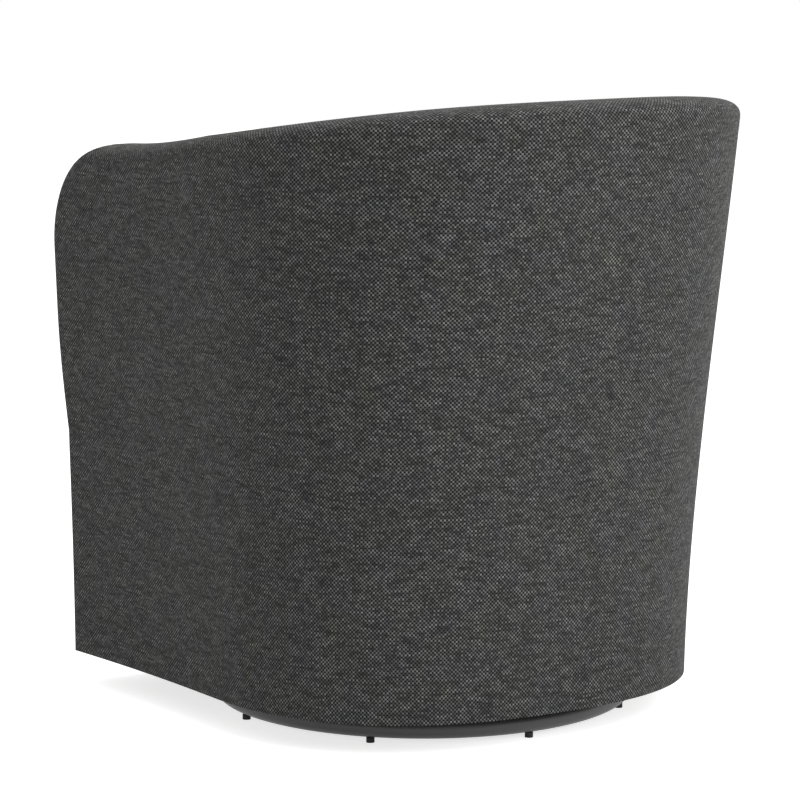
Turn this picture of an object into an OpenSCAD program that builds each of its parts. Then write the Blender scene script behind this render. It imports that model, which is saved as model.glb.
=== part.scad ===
// Swivel rocker: an upholstered barrel chair that turns on a low tube ring
// and rocks on four coil springs hidden under its seat.
// The front faces -Y and +Z is up. The origin is the swivel axis at the floor.

/* [Body outside] */
// Height of the lower edge of the body above the floor
skirt_z = 39; // [39:0.5:45]
// Height of the crest of the back
back_h = 764; // [740:1:790]
// Height of the crest of the arms, where their round front corner ends
arm_h = 688.5; // [675:0.5:700]
// Width of the body at its lower edge
body_w = 617.5; // [610:0.5:650]
// Swivel axis to the front of the body at its lower edge
body_front = 308; // [300:1:320]
// Swivel axis to the back of the body at its lower edge
body_back = 299; // [292:1:315]
// Swivel axis to the line where the sides turn into the back curve
shoulder_y = 6; // [0:1:20]
// How far each side leans out by the height of the crest
side_flare = 28; // [20:1:36]
// How far the back leans out by the height of the crest
back_lean = 104; // [80:1:115]
// How far each arm toes out at its front end
arm_toe = 16.5; // [8:0.5:20]

/* [Arm fronts] */
// Height of the seam where the arms rise from the front border
notch_z = 315; // [312:1:319]
// How far the border leans in from its lower edge to that seam
notch_in = 6; // [4:1:9]
// How far the arm front swells over the border at its fullest
arm_bulge = 14; // [8:0.5:18]
// Height where the arm front is fullest
bulge_z = 478; // [450:1:500]
// Depth of the round corner where the arm front turns into the arm top
corner_d = 109; // [100:1:140]
// Height of that corner
corner_h = 129; // [115:1:145]

/* [Walls] */
// Thickness of the arms and the back at their crest
wall_t = 88; // [86:1:94]
// Depth of the rounded crest, from its top to the flat of the wall
crest_depth = 23.5; // [22:0.5:30]
// Depth of the rounding at the arm front, at the border seam
nose_depth = 1.5; // [1:0.5:3]
// How much further the arm front is rounded at the foot of its corner
nose_growth = 5; // [3:0.5:8]
// Thickness of the outside cover and its wadding
cover_t = 5; // [4:0.5:5]
// Thickness of the fibreboard lining behind the outside cover
liner_t = 3.5; // [3:0.5:4]
// Thickness of the bent ply behind the inside pad
board_t = 3.5; // [3:0.5:4]
// Thickness of the frame ribs and rails across the wall
rib_w = 38.4; // [36:0.2:39]
// How much thicker the inside pad is at the small of the back
lumbar = 22; // [10:1:30]
// Thickness of the upholstered front border
border_t = 19; // [17:0.5:22]

/* [Wooden frame] */
// Thickness of the plywood plates
ply_t = 18; // [15:0.5:18]
// Height of the underside of the bottom plate
plate_z = 58; // [57:0.5:60]
// Width of the bottom plate's band
plate_band = 105; // [100:1:110]
// Height of the underside of the seat plate
seat_plate_z = 275; // [268:1:277]
// Width of the seat plate's band
seat_band = 80; // [70:1:90]
// Depth of the foam edge roll's foot
roll_foot = 28; // [24:1:32]
// Thickness of the crest rail
rail_t = 22; // [18:1:24]
// Clear distance between the two side rails
side_gap = 400; // [390:1:404]
// Swivel axis to the rear end of the side rails
side_rail_rear = 150; // [135:1:160]
// Width of each slat that the mechanism bolts to
slat_w = 60; // [52:1:64]
// Thickness of each slat
slat_t = 25; // [20:1:28]

/* [Seat] */
// Thickness of the seat cushion at its edge
cushion_h = 126; // [116:1:136]
// How far the cushion's top crowns above its edge
cushion_crown = 24; // [12:1:30]
// How far the cushion's boxing swells between its welts
cushion_swell = 6; // [3:0.5:8]
// Radius of the cushion's front corners
cushion_r = 34; // [25:1:45]
// Width of the seat webbing
webbing_w = 50; // [40:1:60]
// Thickness of the seat webbing
webbing_t = 2; // [1.5:0.1:2.5]

/* [Ring base] */
// Radius of the ring, swivel axis to the middle of its tube
ring_r = 248.5; // [240:0.5:252]
// Diameter of the ring's tube
tube_d = 24; // [23:0.5:25]
// Diameter of each rubber foot
foot_d = 10; // [8:0.5:12]
// How far the feet hold the tube off the floor
foot_h = 6.4; // [5.5:0.1:6.5]
// Number of feet
foot_count = 8; // [4:4:12]
// Turn of the ring base from the chair's own front, in degrees
base_turn = -2.75; // [-10:0.25:10]
// Width of the two bars that cross the ring
bar_w = 32; // [28:1:40]
// Height of those bars
bar_h = 16; // [16:0.5:18]
// Radius of the hub plate
hub_r = 95; // [92:1:100]

/* [Mechanism] */
// Thickness of the steel plates
steel_t = 4; // [3.5:0.1:4]
// Pitch radius of the swivel bearing's balls
race_r = 75; // [72:1:78]
// Radial width of each bearing race
race_w = 26; // [24:1:28]
// Height of each bearing race
race_h = 9.5; // [9:0.5:10]
// Gap between the two races
race_gap = 1; // [1:0.1:1.5]
// Diameter of the bearing balls
ball_d = 8; // [7:0.5:8]
// Number of bearing balls
ball_count = 24; // [12:1:28]
// Radius of the swivel bolt
bolt_r = 8; // [7:0.5:9]
// Height of the rocking axis
pivot_z = 98; // [96:1:100]
// Radius of the pivot rod
rod_r = 6; // [5:0.5:6.5]
// Wall of the pivot bushes
bush_wall = 3; // [2:0.5:3.5]
// Swivel axis to the inner face of each ear
ear_x = 104; // [102:0.5:106]
// Radius of the ears round the pivot
ear_r = 18; // [16:0.5:19]
// Height of the underside of the tilt plate
tilt_z = 122; // [121:0.5:123]
// Length of the tilt plate, front to back
tilt_len = 240; // [232:1:244]
// Radius of the rocker springs' coils
spring_r = 22; // [18:0.5:23]
// Diameter of the rocker springs' wire
spring_wire = 5.5; // [4:0.5:6]
// Turns of each rocker spring
spring_turns = 5; // [4:1:5]
// Swivel axis to the middle of each spring, sideways
spring_x = 62; // [58:1:64]
// Ends of the plates to the middle of each spring
spring_in = 42; // [40:1:44]
// Furthest that the chair leans back, in degrees
lean_back = 5; // [3:0.5:5]
// Furthest that the chair tips forward, in degrees
tip_forward = 4; // [3:0.5:4.5]

/* [Hidden] */
$fn = 64;

// Clearance between neighbouring pieces
gap = 0.3;
// Clearance between the bent lining and the straight edges of the frame
frame_gap = 1.3;
// Running clearance of the bolt, the rod and their bores
run_gap = 0.05;
// Overrun of the cuts
cut = 1;

// Shares of the side's flare that grow with the first, second and third power of the height
flare_shares = [0.48, 1.12, -0.6];
// Shares of the back's lean that grow with the same powers
lean_shares = [0.17, 1.62, -0.79];
// Shares of the crest's rise that grow with the same powers of the way to the back
rise_shares = [0.32, 1.42, -0.74];
// Exponent of the superellipse that the back curve follows in plan
plan_power = 2.43;
// Exponents of the rounding across the wall, at the arm front and along the crest
nose_power = 4;
crest_power = 2.6;

arm_front = body_front - notch_in;
back_depth = body_back - shoulder_y;
// Line across the chair where the arm's round corner ends, and how far it is to the back
corner_y = corner_d - arm_front - arm_bulge;
crest_run = body_back - corner_y;
// The corner is sheared, so that it runs smoothly into the sloping crest
corner_rise = (back_h - arm_h) * rise_shares[0] * corner_d / crest_run;
corner_z = arm_h - corner_h - corner_rise;

// How finely the walls are divided
nose_steps = 3;
corner_steps = 5;
arm_steps = 4;
curve_steps = 10;
wall_rows = 8;
roll_steps = 8;

// Insets of the layers of the wall from the outside of the cover
liner_in = cover_t + gap;
rib_in = liner_in + liner_t + frame_gap;
board_in = rib_in + rib_w + 2 * gap;
pad_in = board_in + board_t + gap;
// How far the cover reaches down inside the crest, to the seam with the inside pad
tuck = 4;

// Share of the body's height that z stands at
function height_share(z) = (z - skirt_z) / (back_h - skirt_z);
// Half width of the body at height z
function half_width(z) = let (s = height_share(z))
    body_w / 2 + side_flare * (flare_shares[0] * s + flare_shares[1] * s * s
        + flare_shares[2] * s * s * s);
// Depth of the back curve behind the shoulder line at height z
function curve_depth(z) = let (s = height_share(z))
    back_depth + back_lean * (lean_shares[0] * s + lean_shares[1] * s * s
        + lean_shares[2] * s * s * s);
// Share of the way from the shoulder line to the front
function side_share(y) = max(0, (shoulder_y - y) / (shoulder_y + body_front));
// Outside of the left arm at y and z
function side_x(y, z) = half_width(z) + arm_toe * pow(side_share(y), 2);
// Height and slope of the crest over a point of the lower edge
function crest_z(y) = let (s = (y - corner_y) / crest_run)
    arm_h + (back_h - arm_h) * (rise_shares[0] * s + rise_shares[1] * s * s
        + rise_shares[2] * s * s * s);
function crest_slope(y) = let (s = (y - corner_y) / crest_run)
    (rise_shares[0] + 2 * rise_shares[1] * s + 3 * rise_shares[2] * s * s)
        * (back_h - arm_h) / crest_run;
// Share of the rise from the border seam to the foot of the corner
function nose_share(z) = min(1, max(0, (z - notch_z) / (corner_z - notch_z)));
// Depth of the rounding at the arm front at height z
function nose_d(z) = nose_depth + nose_growth * nose_share(z);
// Foremost line of the arm front at height z
function nose_y(z) = -arm_front
    - arm_bulge * sin(90 * min(1, max(0, (z - notch_z) / (bulge_z - notch_z))));
// Front edge of the flat of the wall at height z
function edge_y(z) = z < notch_z
    ? -body_front + notch_in * (z - skirt_z) / (notch_z - skirt_z)
    : nose_y(min(z, corner_z)) + nose_d(z);

// A column of the wall holds [curve angle or -1, crest y, crest z, normal y, normal z, depth,
// rounding exponent, y at the lower edge, side of the chair]
function nose_column(i) = let (z = notch_z + (corner_z - notch_z) * i / nose_steps)
    [-1, nose_y(z), z, -1, 0, nose_d(z), nose_power, front_foot(i)];
function corner_column(i) = let (t = 90 * i / corner_steps, s = i / corner_steps,
        n = [-cos(t) / corner_d, sin(t) / corner_h], m = norm(n),
        d = nose_d(corner_z))
    [-1, corner_y - corner_d * cos(t), corner_z + corner_h * sin(t) + corner_rise * (1 - cos(t)),
        n[0] / m, n[1] / m, d + (crest_depth - d) * s * s,
        nose_power + (crest_power - nose_power) * s * s,
        front_foot(nose_steps + i)];
function arm_column(i) = let (y = corner_y + (shoulder_y - corner_y) * i / arm_steps)
    [-1, y, crest_z(y), 0, 1, crest_depth, crest_power, y];
function curve_column(a) = let (y = shoulder_y + back_depth * pow(sin(a), 2 / plan_power))
    [a, y, crest_z(y), 0, 1, crest_depth, crest_power, y];
// Foot of the i-th column from the front, on the lower edge of the wall
function front_foot(i) = -body_front
    + (corner_y + body_front) * i / (nose_steps + corner_steps);

half_columns = [
    for (i = [0:nose_steps]) nose_column(i),
    for (i = [1:corner_steps]) corner_column(i),
    for (i = [1:arm_steps - 1]) arm_column(i),
    for (i = [0:curve_steps]) curve_column(90 * i / curve_steps)];
last_half = len(half_columns) - 1;
all_columns = [
    for (c = half_columns) concat(c, [1]),
    for (i = [last_half - 1:-1:0]) concat(half_columns[i], [-1])];
// The columns that the crest rail and the board under it follow, between the feet of the corners
rail_columns = [for (c = all_columns) if (c[2] > corner_z - cut) c];

// Unit normal of the back curve in plan, at curve angle a and height z
function curve_normal(a, z) = let (e = 2 - 2 / plan_power,
        n = [pow(cos(a), e) / half_width(z), pow(sin(a), e) / curve_depth(z)])
    n / norm(n);
// Point of the wall at an inset from its outside, in column c at y and z
function wall_point(c, inset, y, z) = c[0] < 0
    ? [c[8] * (side_x(y, z) - inset), y, z]
    : let (e = 2 / plan_power, n = curve_normal(c[0], z))
        [c[8] * (half_width(z) * pow(cos(c[0]), e) - inset * n[0]),
            shoulder_y + curve_depth(z) * pow(sin(c[0]), e) - inset * n[1], z];
// Point in the rounded part of column c, sunk below the crest
function sunk_point(c, inset, sink) =
    wall_point(c, inset, c[1] - c[3] * sink, c[2] - c[4] * sink);
// Point of the flat wall, a share of the way up from z0 to what lies sunk below the crest;
// trim holds the front end back
function flat_point(c, inset, share, z0, sink, trim) =
    let (top_y = c[1] - c[3] * sink, top_z = c[2] - c[4] * sink,
        z = z0 + (top_z - z0) * share,
        y = edge_y(z) + (top_y - edge_y(top_z)) * share + (c[7] - edge_y(skirt_z)) * (1 - share))
    wall_point(c, inset, y + trim * side_share(y), z);
// Depth of the rounding in column c of the layer that lies less under the cover's outside
function layer_depth(c, less) = less > 0 ? max(c[5], less + nose_depth) : c[5];
// Depth from the crest at which the foam's flat sides start, in column c
function foam_depth(c) = layer_depth(c, cover_t + gap);
// Rounded crest at offset less under the cover's outside, at step i from its outer edge
function roll_point(c, i, less) = let (s = -cos(180 * i / roll_steps),
        drop = 1 - pow(max(0, 1 - pow(abs(s), c[6])), 1 / c[6]))
    sunk_point(c, wall_t / 2 + (wall_t / 2 - less) * s,
        less + (layer_depth(c, less) - less) * drop);

// Solid between two surfaces, each a list of columns of as many points
module between(outer, inner) {
    n = len(outer);
    m = len(outer[0]);
    points = concat([for (c = outer) each c], [for (c = inner) each c]);
    function a(i, j) = i * m + j;
    function b(i, j) = n * m + i * m + j;
    function quad(p, q, r, s) = [[p, q, r], [p, r, s]];
    faces = [
        for (i = [0:n - 2], j = [0:m - 2]) each quad(a(i, j), a(i, j + 1), a(i + 1, j + 1), a(i + 1, j)),
        for (i = [0:n - 2], j = [0:m - 2]) each quad(b(i, j), b(i + 1, j), b(i + 1, j + 1), b(i, j + 1)),
        for (i = [0:n - 2]) each quad(a(i, 0), a(i + 1, 0), b(i + 1, 0), b(i, 0)),
        for (i = [0:n - 2]) each quad(a(i, m - 1), b(i, m - 1), b(i + 1, m - 1), a(i + 1, m - 1)),
        for (j = [0:m - 2]) each quad(a(0, j), b(0, j), b(0, j + 1), a(0, j + 1)),
        for (j = [0:m - 2]) each quad(a(n - 1, j), a(n - 1, j + 1), b(n - 1, j + 1), b(n - 1, j))];
    polyhedron(points = points, faces = faces);
}

// Layer of the wall from z0 up to what lies sunk below the crest, between two insets
module wall_layer(columns, inset, thick, z0, sink, rows, trim = 0) {
    between(
        [for (c = columns) [for (j = [0:rows])
            flat_point(c, inset, j / rows, z0, foam_depth(c) + sink, trim)]],
        [for (c = columns) [for (j = [0:rows])
            flat_point(c, inset + thick, j / rows, z0, foam_depth(c) + sink, trim)]]);
}

// Outline of the body in plan at height z and an inset, with its front cut straight at front
function plan_half(z, inset, front) = [
    for (i = [0:arm_steps - 1]) let (y = front + (shoulder_y - front) * i / arm_steps)
        [side_x(y, z) - inset, y],
    for (i = [0:2 * curve_steps]) let (p = wall_point(
        concat(curve_column(45 * i / curve_steps), [1]), inset, 0, z)) [p[0], p[1]]];
function plan_outline(z, inset, front) = let (half = plan_half(z, inset, front),
        n = len(half))
    concat(half, [for (i = [n - 2:-1:0]) [-half[i][0], half[i][1]]]);

// Flat plate of the body's outline with a band of its own width round an opening
module band_plate(z, thick, inset, band, front) {
    translate([0, 0, z]) linear_extrude(thick) difference() {
        polygon(plan_outline(z, inset, front));
        polygon(plan_outline(z, inset + band, front + band));
    }
}

module at_corners(x, y) {
    for (sx = [-1, 1], sy = [-1, 1]) translate([sx * x, sy * y, 0]) children();
}

// Heights of the base and the mechanism
tube_r = tube_d / 2;
ring_z = foot_h + tube_r;
hub_z = ring_z + bar_h / 2;
lower_race_z = hub_z + steel_t;
upper_race_z = lower_race_z + race_h + race_gap;
cradle_z = upper_race_z + race_h;
cradle_top = cradle_z + steel_t;
ball_z = upper_race_z - race_gap / 2;

// Values of the feet
stem_r_share = 0.6;
stem_len = 7;

module base_ring() {
    color("dimgray") rotate([0, 0, base_turn]) difference() {
        union() {
            translate([0, 0, ring_z]) rotate_extrude($fn = 120) translate([ring_r, 0]) circle(tube_r);
            for (a = [0, 90]) rotate([0, 0, a])
                translate([-ring_r, -bar_w / 2, hub_z - bar_h]) cube([2 * ring_r, bar_w, bar_h]);
            translate([0, 0, hub_z]) cylinder(r = hub_r, h = steel_t);
        }
        // Well for the bolt head and bore for the bolt
        translate([0, 0, hub_z - bar_h - cut]) cylinder(r = 2 * bolt_r, h = bar_h + cut);
        translate([0, 0, hub_z - cut]) cylinder(r = bolt_r + run_gap, h = steel_t + 2 * cut);
        for (i = [0:foot_count - 1]) rotate([0, 0, 360 * i / foot_count])
            translate([ring_r, 0, 0]) cylinder(
                r = stem_r_share * foot_d / 2 + gap, h = foot_h + stem_len + gap);
    }
}

module ring_feet() {
    color("#1a1a1a") for (i = [0:foot_count - 1]) rotate([0, 0, base_turn + 360 * i / foot_count])
        translate([ring_r, 0, 0]) {
            cylinder(d = foot_d, h = foot_h - gap);
            cylinder(d = stem_r_share * foot_d, h = foot_h + stem_len);
        }
}

// Bearing race with its ball groove
module race(z) {
    rotate_extrude() difference() {
        translate([race_r - race_w / 2, z]) square([race_w, race_h]);
        translate([race_r, ball_z]) circle(d = ball_d + 2 * gap);
    }
}

module lower_race() {
    color("silver") race(lower_race_z);
}

module upper_race() {
    color("silver") race(upper_race_z);
}

// Values of the ball cage
cage_t = race_gap - 2 * gap;

module ball_cage() {
    color("goldenrod") translate([0, 0, ball_z - cage_t / 2]) difference() {
        cylinder(r = race_r + race_w / 2, h = cage_t);
        translate([0, 0, -cut]) cylinder(r = race_r - race_w / 2, h = cage_t + 2 * cut);
        for (i = [0:ball_count - 1]) rotate([0, 0, 360 * i / ball_count])
            translate([race_r, 0, -cut]) cylinder(d = ball_d + gap, h = cage_t + 2 * cut, $fn = 24);
    }
}

module bearing_balls() {
    color("gainsboro") for (i = [0:ball_count - 1]) rotate([0, 0, 360 * i / ball_count])
        translate([race_r, 0, ball_z]) sphere(d = ball_d, $fn = 24);
}

// Values of the swivel bolt, its nut and its washer
washer_t = 3;
washer_r = 20;
nut_h = 13;
hex_share = 1.55;
bolt_head_h = 10;

module swivel_bolt() {
    color("gray") {
        translate([0, 0, hub_z - bolt_head_h]) cylinder(r = hex_share * bolt_r, h = bolt_head_h, $fn = 6);
        translate([0, 0, hub_z - bolt_head_h])
            cylinder(r = bolt_r, h = bolt_head_h + cradle_top - hub_z + washer_t + nut_h + steel_t);
    }
}

module thrust_washer() {
    color("ivory") translate([0, 0, cradle_top]) difference() {
        cylinder(r = washer_r, h = washer_t);
        translate([0, 0, -cut]) cylinder(r = bolt_r + run_gap, h = washer_t + 2 * cut);
    }
}

module swivel_nut() {
    color("gray") translate([0, 0, cradle_top + washer_t + gap]) difference() {
        cylinder(r = hex_share * bolt_r, h = nut_h, $fn = 6);
        translate([0, 0, -cut]) cylinder(r = bolt_r + run_gap, h = nut_h + 2 * cut);
    }
}

// Values of the cradle, its ears and the bushes
cradle_w = 2 * (ear_x + steel_t);
ear_foot = 60;
bush_r = rod_r + run_gap + bush_wall;
flange_r = bush_r + bush_wall;
flange_t = 2;
bore_r = rod_r + run_gap;
lift_r = 14;
spring_y = tilt_len / 2 - spring_in;

// Upright ear: a straight-sided taper that ends in a round eye on the rocking axis
module ear_outline(foot, foot_z) {
    polygon([[-foot, foot_z], [foot, foot_z], [ear_r, pivot_z], [-ear_r, pivot_z]]);
    translate([0, pivot_z]) circle(ear_r);
}

module swivel_cradle() {
    color("dimgray") difference() {
        union() {
            translate([-cradle_w / 2, -tilt_len / 2, cradle_z]) cube([cradle_w, tilt_len, steel_t]);
            for (s = [-1, 1]) translate([s * (ear_x + steel_t / 2), 0, 0]) rotate([90, 0, 90])
                translate([0, 0, -steel_t / 2]) linear_extrude(steel_t) ear_outline(ear_foot, cradle_z);
        }
        translate([0, 0, cradle_z - cut]) cylinder(r = bolt_r + run_gap, h = steel_t + 2 * cut);
        // Lightening holes between the springs
        for (s = [-1, 1]) translate([0, s * spring_y, cradle_z - cut])
            cylinder(r = lift_r, h = steel_t + 2 * cut);
        translate([-cradle_w / 2 - cut, 0, pivot_z]) rotate([0, 90, 0])
            cylinder(r = bush_r, h = cradle_w + 2 * cut);
    }
}

module pivot_bushes() {
    color("ivory") for (s = [-1, 1]) scale_x(s) translate([ear_x, 0, pivot_z]) rotate([0, 90, 0])
        difference() {
            union() {
                cylinder(r = bush_r - run_gap, h = steel_t + flange_t);
                translate([0, 0, steel_t]) cylinder(r = flange_r, h = flange_t);
            }
            translate([0, 0, -cut]) cylinder(r = bore_r, h = steel_t + flange_t + 2 * cut);
        }
}

// The left half of a pair as it is, or mirrored for the right
module scale_x(s) {
    if (s > 0) children(); else mirror([1, 0, 0]) children();
}

// Values of the tilt frame
cheek_x = ear_x + steel_t + flange_t + gap;
cheek_foot = 70;
tilt_w = 2 * (cheek_x + steel_t);
buffer_y = tilt_len / 2 - steel_t / 2;
buffer_h = 7;
lip_z = cradle_top + buffer_h + 2 * gap + buffer_y * sin(lean_back);
buffer_front_h = lip_z - cradle_top - 2 * gap - buffer_y * sin(tip_forward);
buffer_r = 9;
buffer_x = 30;
mount_x = 98;
mount_y = 85;
mount_r = 4;

module stop_buffers() {
    color("#1a1a1a") for (s = [-1, 1]) {
        translate([s * buffer_x, tilt_len / 2 - buffer_r, cradle_top]) cylinder(r = buffer_r, h = buffer_h);
        translate([s * buffer_x, -tilt_len / 2 + buffer_r, cradle_top])
            cylinder(r = buffer_r, h = buffer_front_h);
    }
}

module tilt_frame() {
    color("dimgray") difference() {
        union() {
            translate([-tilt_w / 2, -tilt_len / 2, tilt_z]) cube([tilt_w, tilt_len, steel_t]);
            // Lips that meet the buffers at the end of the rocking
            for (s = [-1, 1]) translate([-tilt_w / 2, s * buffer_y - steel_t / 2, lip_z])
                cube([tilt_w, steel_t, tilt_z - lip_z + steel_t / 2]);
            for (s = [-1, 1]) translate([s * (cheek_x + steel_t / 2), 0, 0]) rotate([90, 0, 90])
                translate([0, 0, -steel_t / 2]) linear_extrude(steel_t)
                    ear_outline(cheek_foot, tilt_z + steel_t / 2);
        }
        translate([-tilt_w / 2 - cut, 0, pivot_z]) rotate([0, 90, 0])
            cylinder(r = bore_r, h = tilt_w + 2 * cut);
        at_corners(mount_x, mount_y) translate([0, 0, tilt_z - cut])
            cylinder(r = mount_r + gap, h = steel_t + 2 * cut);
    }
}

// Values of the pivot rod and its clips
clip_t = 2;
clip_r = 10;
rod_len = tilt_w + 4 * clip_t + 2 * gap;

module pivot_rod() {
    color("silver") translate([-rod_len / 2, 0, pivot_z]) rotate([0, 90, 0]) cylinder(r = rod_r, h = rod_len);
}

module rod_clips() {
    color("gray") for (s = [-1, 1]) scale_x(s) translate([tilt_w / 2 + gap, 0, pivot_z]) rotate([0, 90, 0])
        difference() {
            cylinder(r = clip_r, h = clip_t);
            translate([0, 0, -cut]) cylinder(r = bore_r, h = clip_t + 2 * cut);
        }
}

// Rings and sides of a spring's wire
turn_rings = 8;
wire_sides = 6;
spring_rings = turn_rings * spring_turns;
spring_low = cradle_top + gap;
spring_high = tilt_z - gap;
// Climb of the wire from ring to ring, and its slope along the curl
ring_climb = (spring_high - spring_low - 2 * spring_wire) / spring_rings;
wire_slope = ring_climb * turn_rings / (2 * PI * spring_r);
// Middle line of the wire, from its lower seat to its upper one, with straight upright ends
spring_path = concat([[spring_r, 0, spring_low]],
    [for (i = [0:spring_rings]) let (t = 360 * i / turn_rings)
        [spring_r * cos(t), spring_r * sin(t), spring_low + spring_wire + ring_climb * i]],
    [[spring_r, 0, spring_high]]);
echo("Least gap between a spring's curls", min([for (i = [1:spring_rings + 1 - turn_rings])
    norm(spring_path[i + turn_rings] - spring_path[i])]) - spring_wire);

module coil_spring() {
    function ring(i) = let (t = 360 * (i - 1) / turn_rings,
            out = [cos(t), sin(t), 0],
            along = i == 0 || i == spring_rings + 2 ? [0, 0, 1]
                : [-sin(t), cos(t), wire_slope] / norm([1, wire_slope]),
            up = cross(out, along))
        [for (k = [0:wire_sides - 1]) let (a = 360 * k / wire_sides)
            spring_path[i] + spring_wire / 2 * (cos(a) * out + sin(a) * up)];
    n = len(spring_path);
    points = [for (i = [0:n - 1]) each ring(i)];
    function at(i, k) = i * wire_sides + k % wire_sides;
    polyhedron(points = points, faces = [
        for (i = [0:n - 2], k = [0:wire_sides - 1]) each [
            [at(i, k), at(i, k + 1), at(i + 1, k + 1)],
            [at(i, k), at(i + 1, k + 1), at(i + 1, k)]],
        for (k = [1:wire_sides - 2]) [at(0, 0), at(0, k + 1), at(0, k)],
        for (k = [1:wire_sides - 2]) [at(n - 1, 0), at(n - 1, k), at(n - 1, k + 1)]]);
}

module rocker_spring(sx, sy) {
    color("slategray") translate([sx * spring_x, sy * spring_y, 0]) coil_spring();
}

// Heights of the wooden frame
slat_z = tilt_z + steel_t;
slat_top = slat_z + slat_t;
plate_top = plate_z + ply_t;
seat_top = seat_plate_z + ply_t;
board_front = -body_front + border_t + gap;

// Values of the mounting bolts and their tee nuts
bolt_cap_r = 6;
tee_r = 10;
tee_t = 2;
tee_barrel_r = 5.2;
tee_barrel_h = 11;

module mounting_bolts() {
    color("gray") at_corners(mount_x, mount_y) {
        translate([0, 0, tilt_z - steel_t]) cylinder(r = bolt_cap_r, h = steel_t);
        translate([0, 0, tilt_z - steel_t]) cylinder(r = mount_r, h = 2 * steel_t + slat_t + 2 * tee_t);
    }
}

module tee_nuts() {
    color("silver") at_corners(mount_x, mount_y) translate([0, 0, slat_top]) difference() {
        union() {
            cylinder(r = tee_r, h = tee_t);
            translate([0, 0, -tee_barrel_h]) cylinder(r = tee_barrel_r, h = tee_barrel_h + tee_t);
        }
        translate([0, 0, -tee_barrel_h - cut])
            cylinder(r = mount_r + run_gap, h = tee_barrel_h + tee_t + 2 * cut);
    }
}

module slat(s) {
    color("burlywood") difference() {
        translate([-side_gap / 2 + gap, s * mount_y - slat_w / 2, slat_z])
            cube([side_gap - 2 * gap, slat_w, slat_t]);
        for (sx = [-1, 1]) translate([sx * mount_x, s * mount_y, 0]) {
            translate([0, 0, slat_z - cut]) cylinder(r = mount_r + gap, h = slat_t + 2 * cut);
            translate([0, 0, slat_top - tee_barrel_h - gap])
                cylinder(r = tee_barrel_r + gap, h = tee_barrel_h + gap + cut);
        }
    }
}

module side_rail(s) {
    color("burlywood") scale_x(s) translate([side_gap / 2, board_front + ply_t + gap, plate_top])
        cube([ply_t, side_rail_rear - board_front - ply_t - gap, seat_plate_z - plate_top]);
}

module bottom_plate() {
    color("tan") band_plate(plate_z, ply_t, rib_in, plate_band, board_front);
}

module seat_plate() {
    color("tan") band_plate(seat_plate_z, ply_t, rib_in, seat_band, board_front);
}

module front_panel() {
    w = side_x(board_front, plate_z) - rib_in;
    color("tan") translate([-w, board_front, plate_top]) cube([2 * w, ply_t, seat_plate_z - plate_top]);
}

// Values of the corner blocks
block_side = 45;
block_h = 60;

module corner_blocks() {
    color("burlywood") for (s = [-1, 1]) scale_x(s)
        translate([side_gap / 2 - gap, board_front + ply_t + gap, plate_top])
            linear_extrude(block_h) polygon([[0, 0], [-block_side, 0], [0, block_side]]);
}

// Post behind the arm front, from the seat plate to the foot of the crest rail; its front edge
// follows the swell of the arm front
module arm_post(s) {
    function front(z) = nose_y(z) + foam_depth(nose_column(0)) + roll_foot + gap;
    high = corner_z - gap;
    back = front(notch_z) + rail_t;
    outer = side_x(back, seat_top) - rib_in;
    inner = side_x(front(high), high) - rib_in - rib_w;
    heights = [for (i = [0:nose_steps]) half_columns[i][2]];
    color("burlywood") scale_x(s) translate([inner, 0, 0]) rotate([90, 0, 90])
        linear_extrude(outer - inner) polygon(concat([[front(notch_z), seat_top]],
            [for (z = heights) [front(z), min(z, high)]], [[back, high], [back, seat_top]]));
}

// Columns of the wall that the ribs stand in: beside the arm, behind the shoulder, off the
// middle of the back and in the middle of it
arm_rib = arm_column(2);
shoulder_rib = curve_column(90 * 3 / curve_steps);
back_rib = curve_column(90 * 7 / curve_steps);
middle_rib = curve_column(90);
rib_steps = 4;

// Point in which the wall's line at an inset and at height z crosses the line through point p
// along n, found by halving the curve angles from lo to hi
function crossing(p, n, inset, z, lo = 0, hi = 90, halvings = 16) =
    let (mid = (lo + hi) / 2, q = wall_point(concat(curve_column(mid), [1]), inset, 0, z))
    halvings == 0 ? q
        : (q[0] - p[0]) * n[1] > (q[1] - p[1]) * n[0]
            ? crossing(p, n, inset, z, mid, hi, halvings - 1)
            : crossing(p, n, inset, z, lo, mid, halvings - 1);

// Height of a rib's top under the crest rail, which slopes across the rib
function rib_top(c) = c[2] - foam_depth(c) - roll_foot - rail_t - 2 * gap
    - crest_slope(c[1]) * ply_t / 2;

// Upright plate, square to the wall under the crest of column c, on side s of the chair, from z0
// to z1, with its outer edge cut to the wall's slope
module rib(c, s, z0, z1) {
    head = wall_point(concat(c, [1]), rib_in, c[1], rib_top(c));
    n = c[0] < 0 ? [1, 0] : curve_normal(c[0], rib_top(c));
    function reaches(inset, z) = [for (d = [-ply_t / 2, ply_t / 2])
        let (p = [head[0] - d * n[1], head[1] + d * n[0]],
            q = c[0] < 0 ? wall_point(concat(c, [1]), inset, p[1], z) : crossing(p, n, inset, z))
        (q[0] - p[0]) * n[0] + (q[1] - p[1]) * n[1]];
    heights = [for (i = [0:rib_steps]) z0 + (z1 - z0) * i / rib_steps];
    color("tan") scale_x(s) translate([head[0], head[1], 0]) rotate([90, 0, atan2(n[1], n[0])])
        translate([0, 0, -ply_t / 2]) linear_extrude(ply_t) polygon(concat(
            [for (z = heights) [min(reaches(rib_in, z)), z]],
            [for (i = [rib_steps:-1:0]) let (z = heights[i]) [max(reaches(rib_in + rib_w, z)), z]]));
}

module upper_rib(c, s) {
    rib(c, s, seat_top, rib_top(c));
}

module lower_ribs() {
    for (s = [-1, 1], c = [arm_rib, shoulder_rib, back_rib]) rib(c, s, plate_top, seat_plate_z);
    rib(middle_rib, 1, plate_top, seat_plate_z);
}

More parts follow.
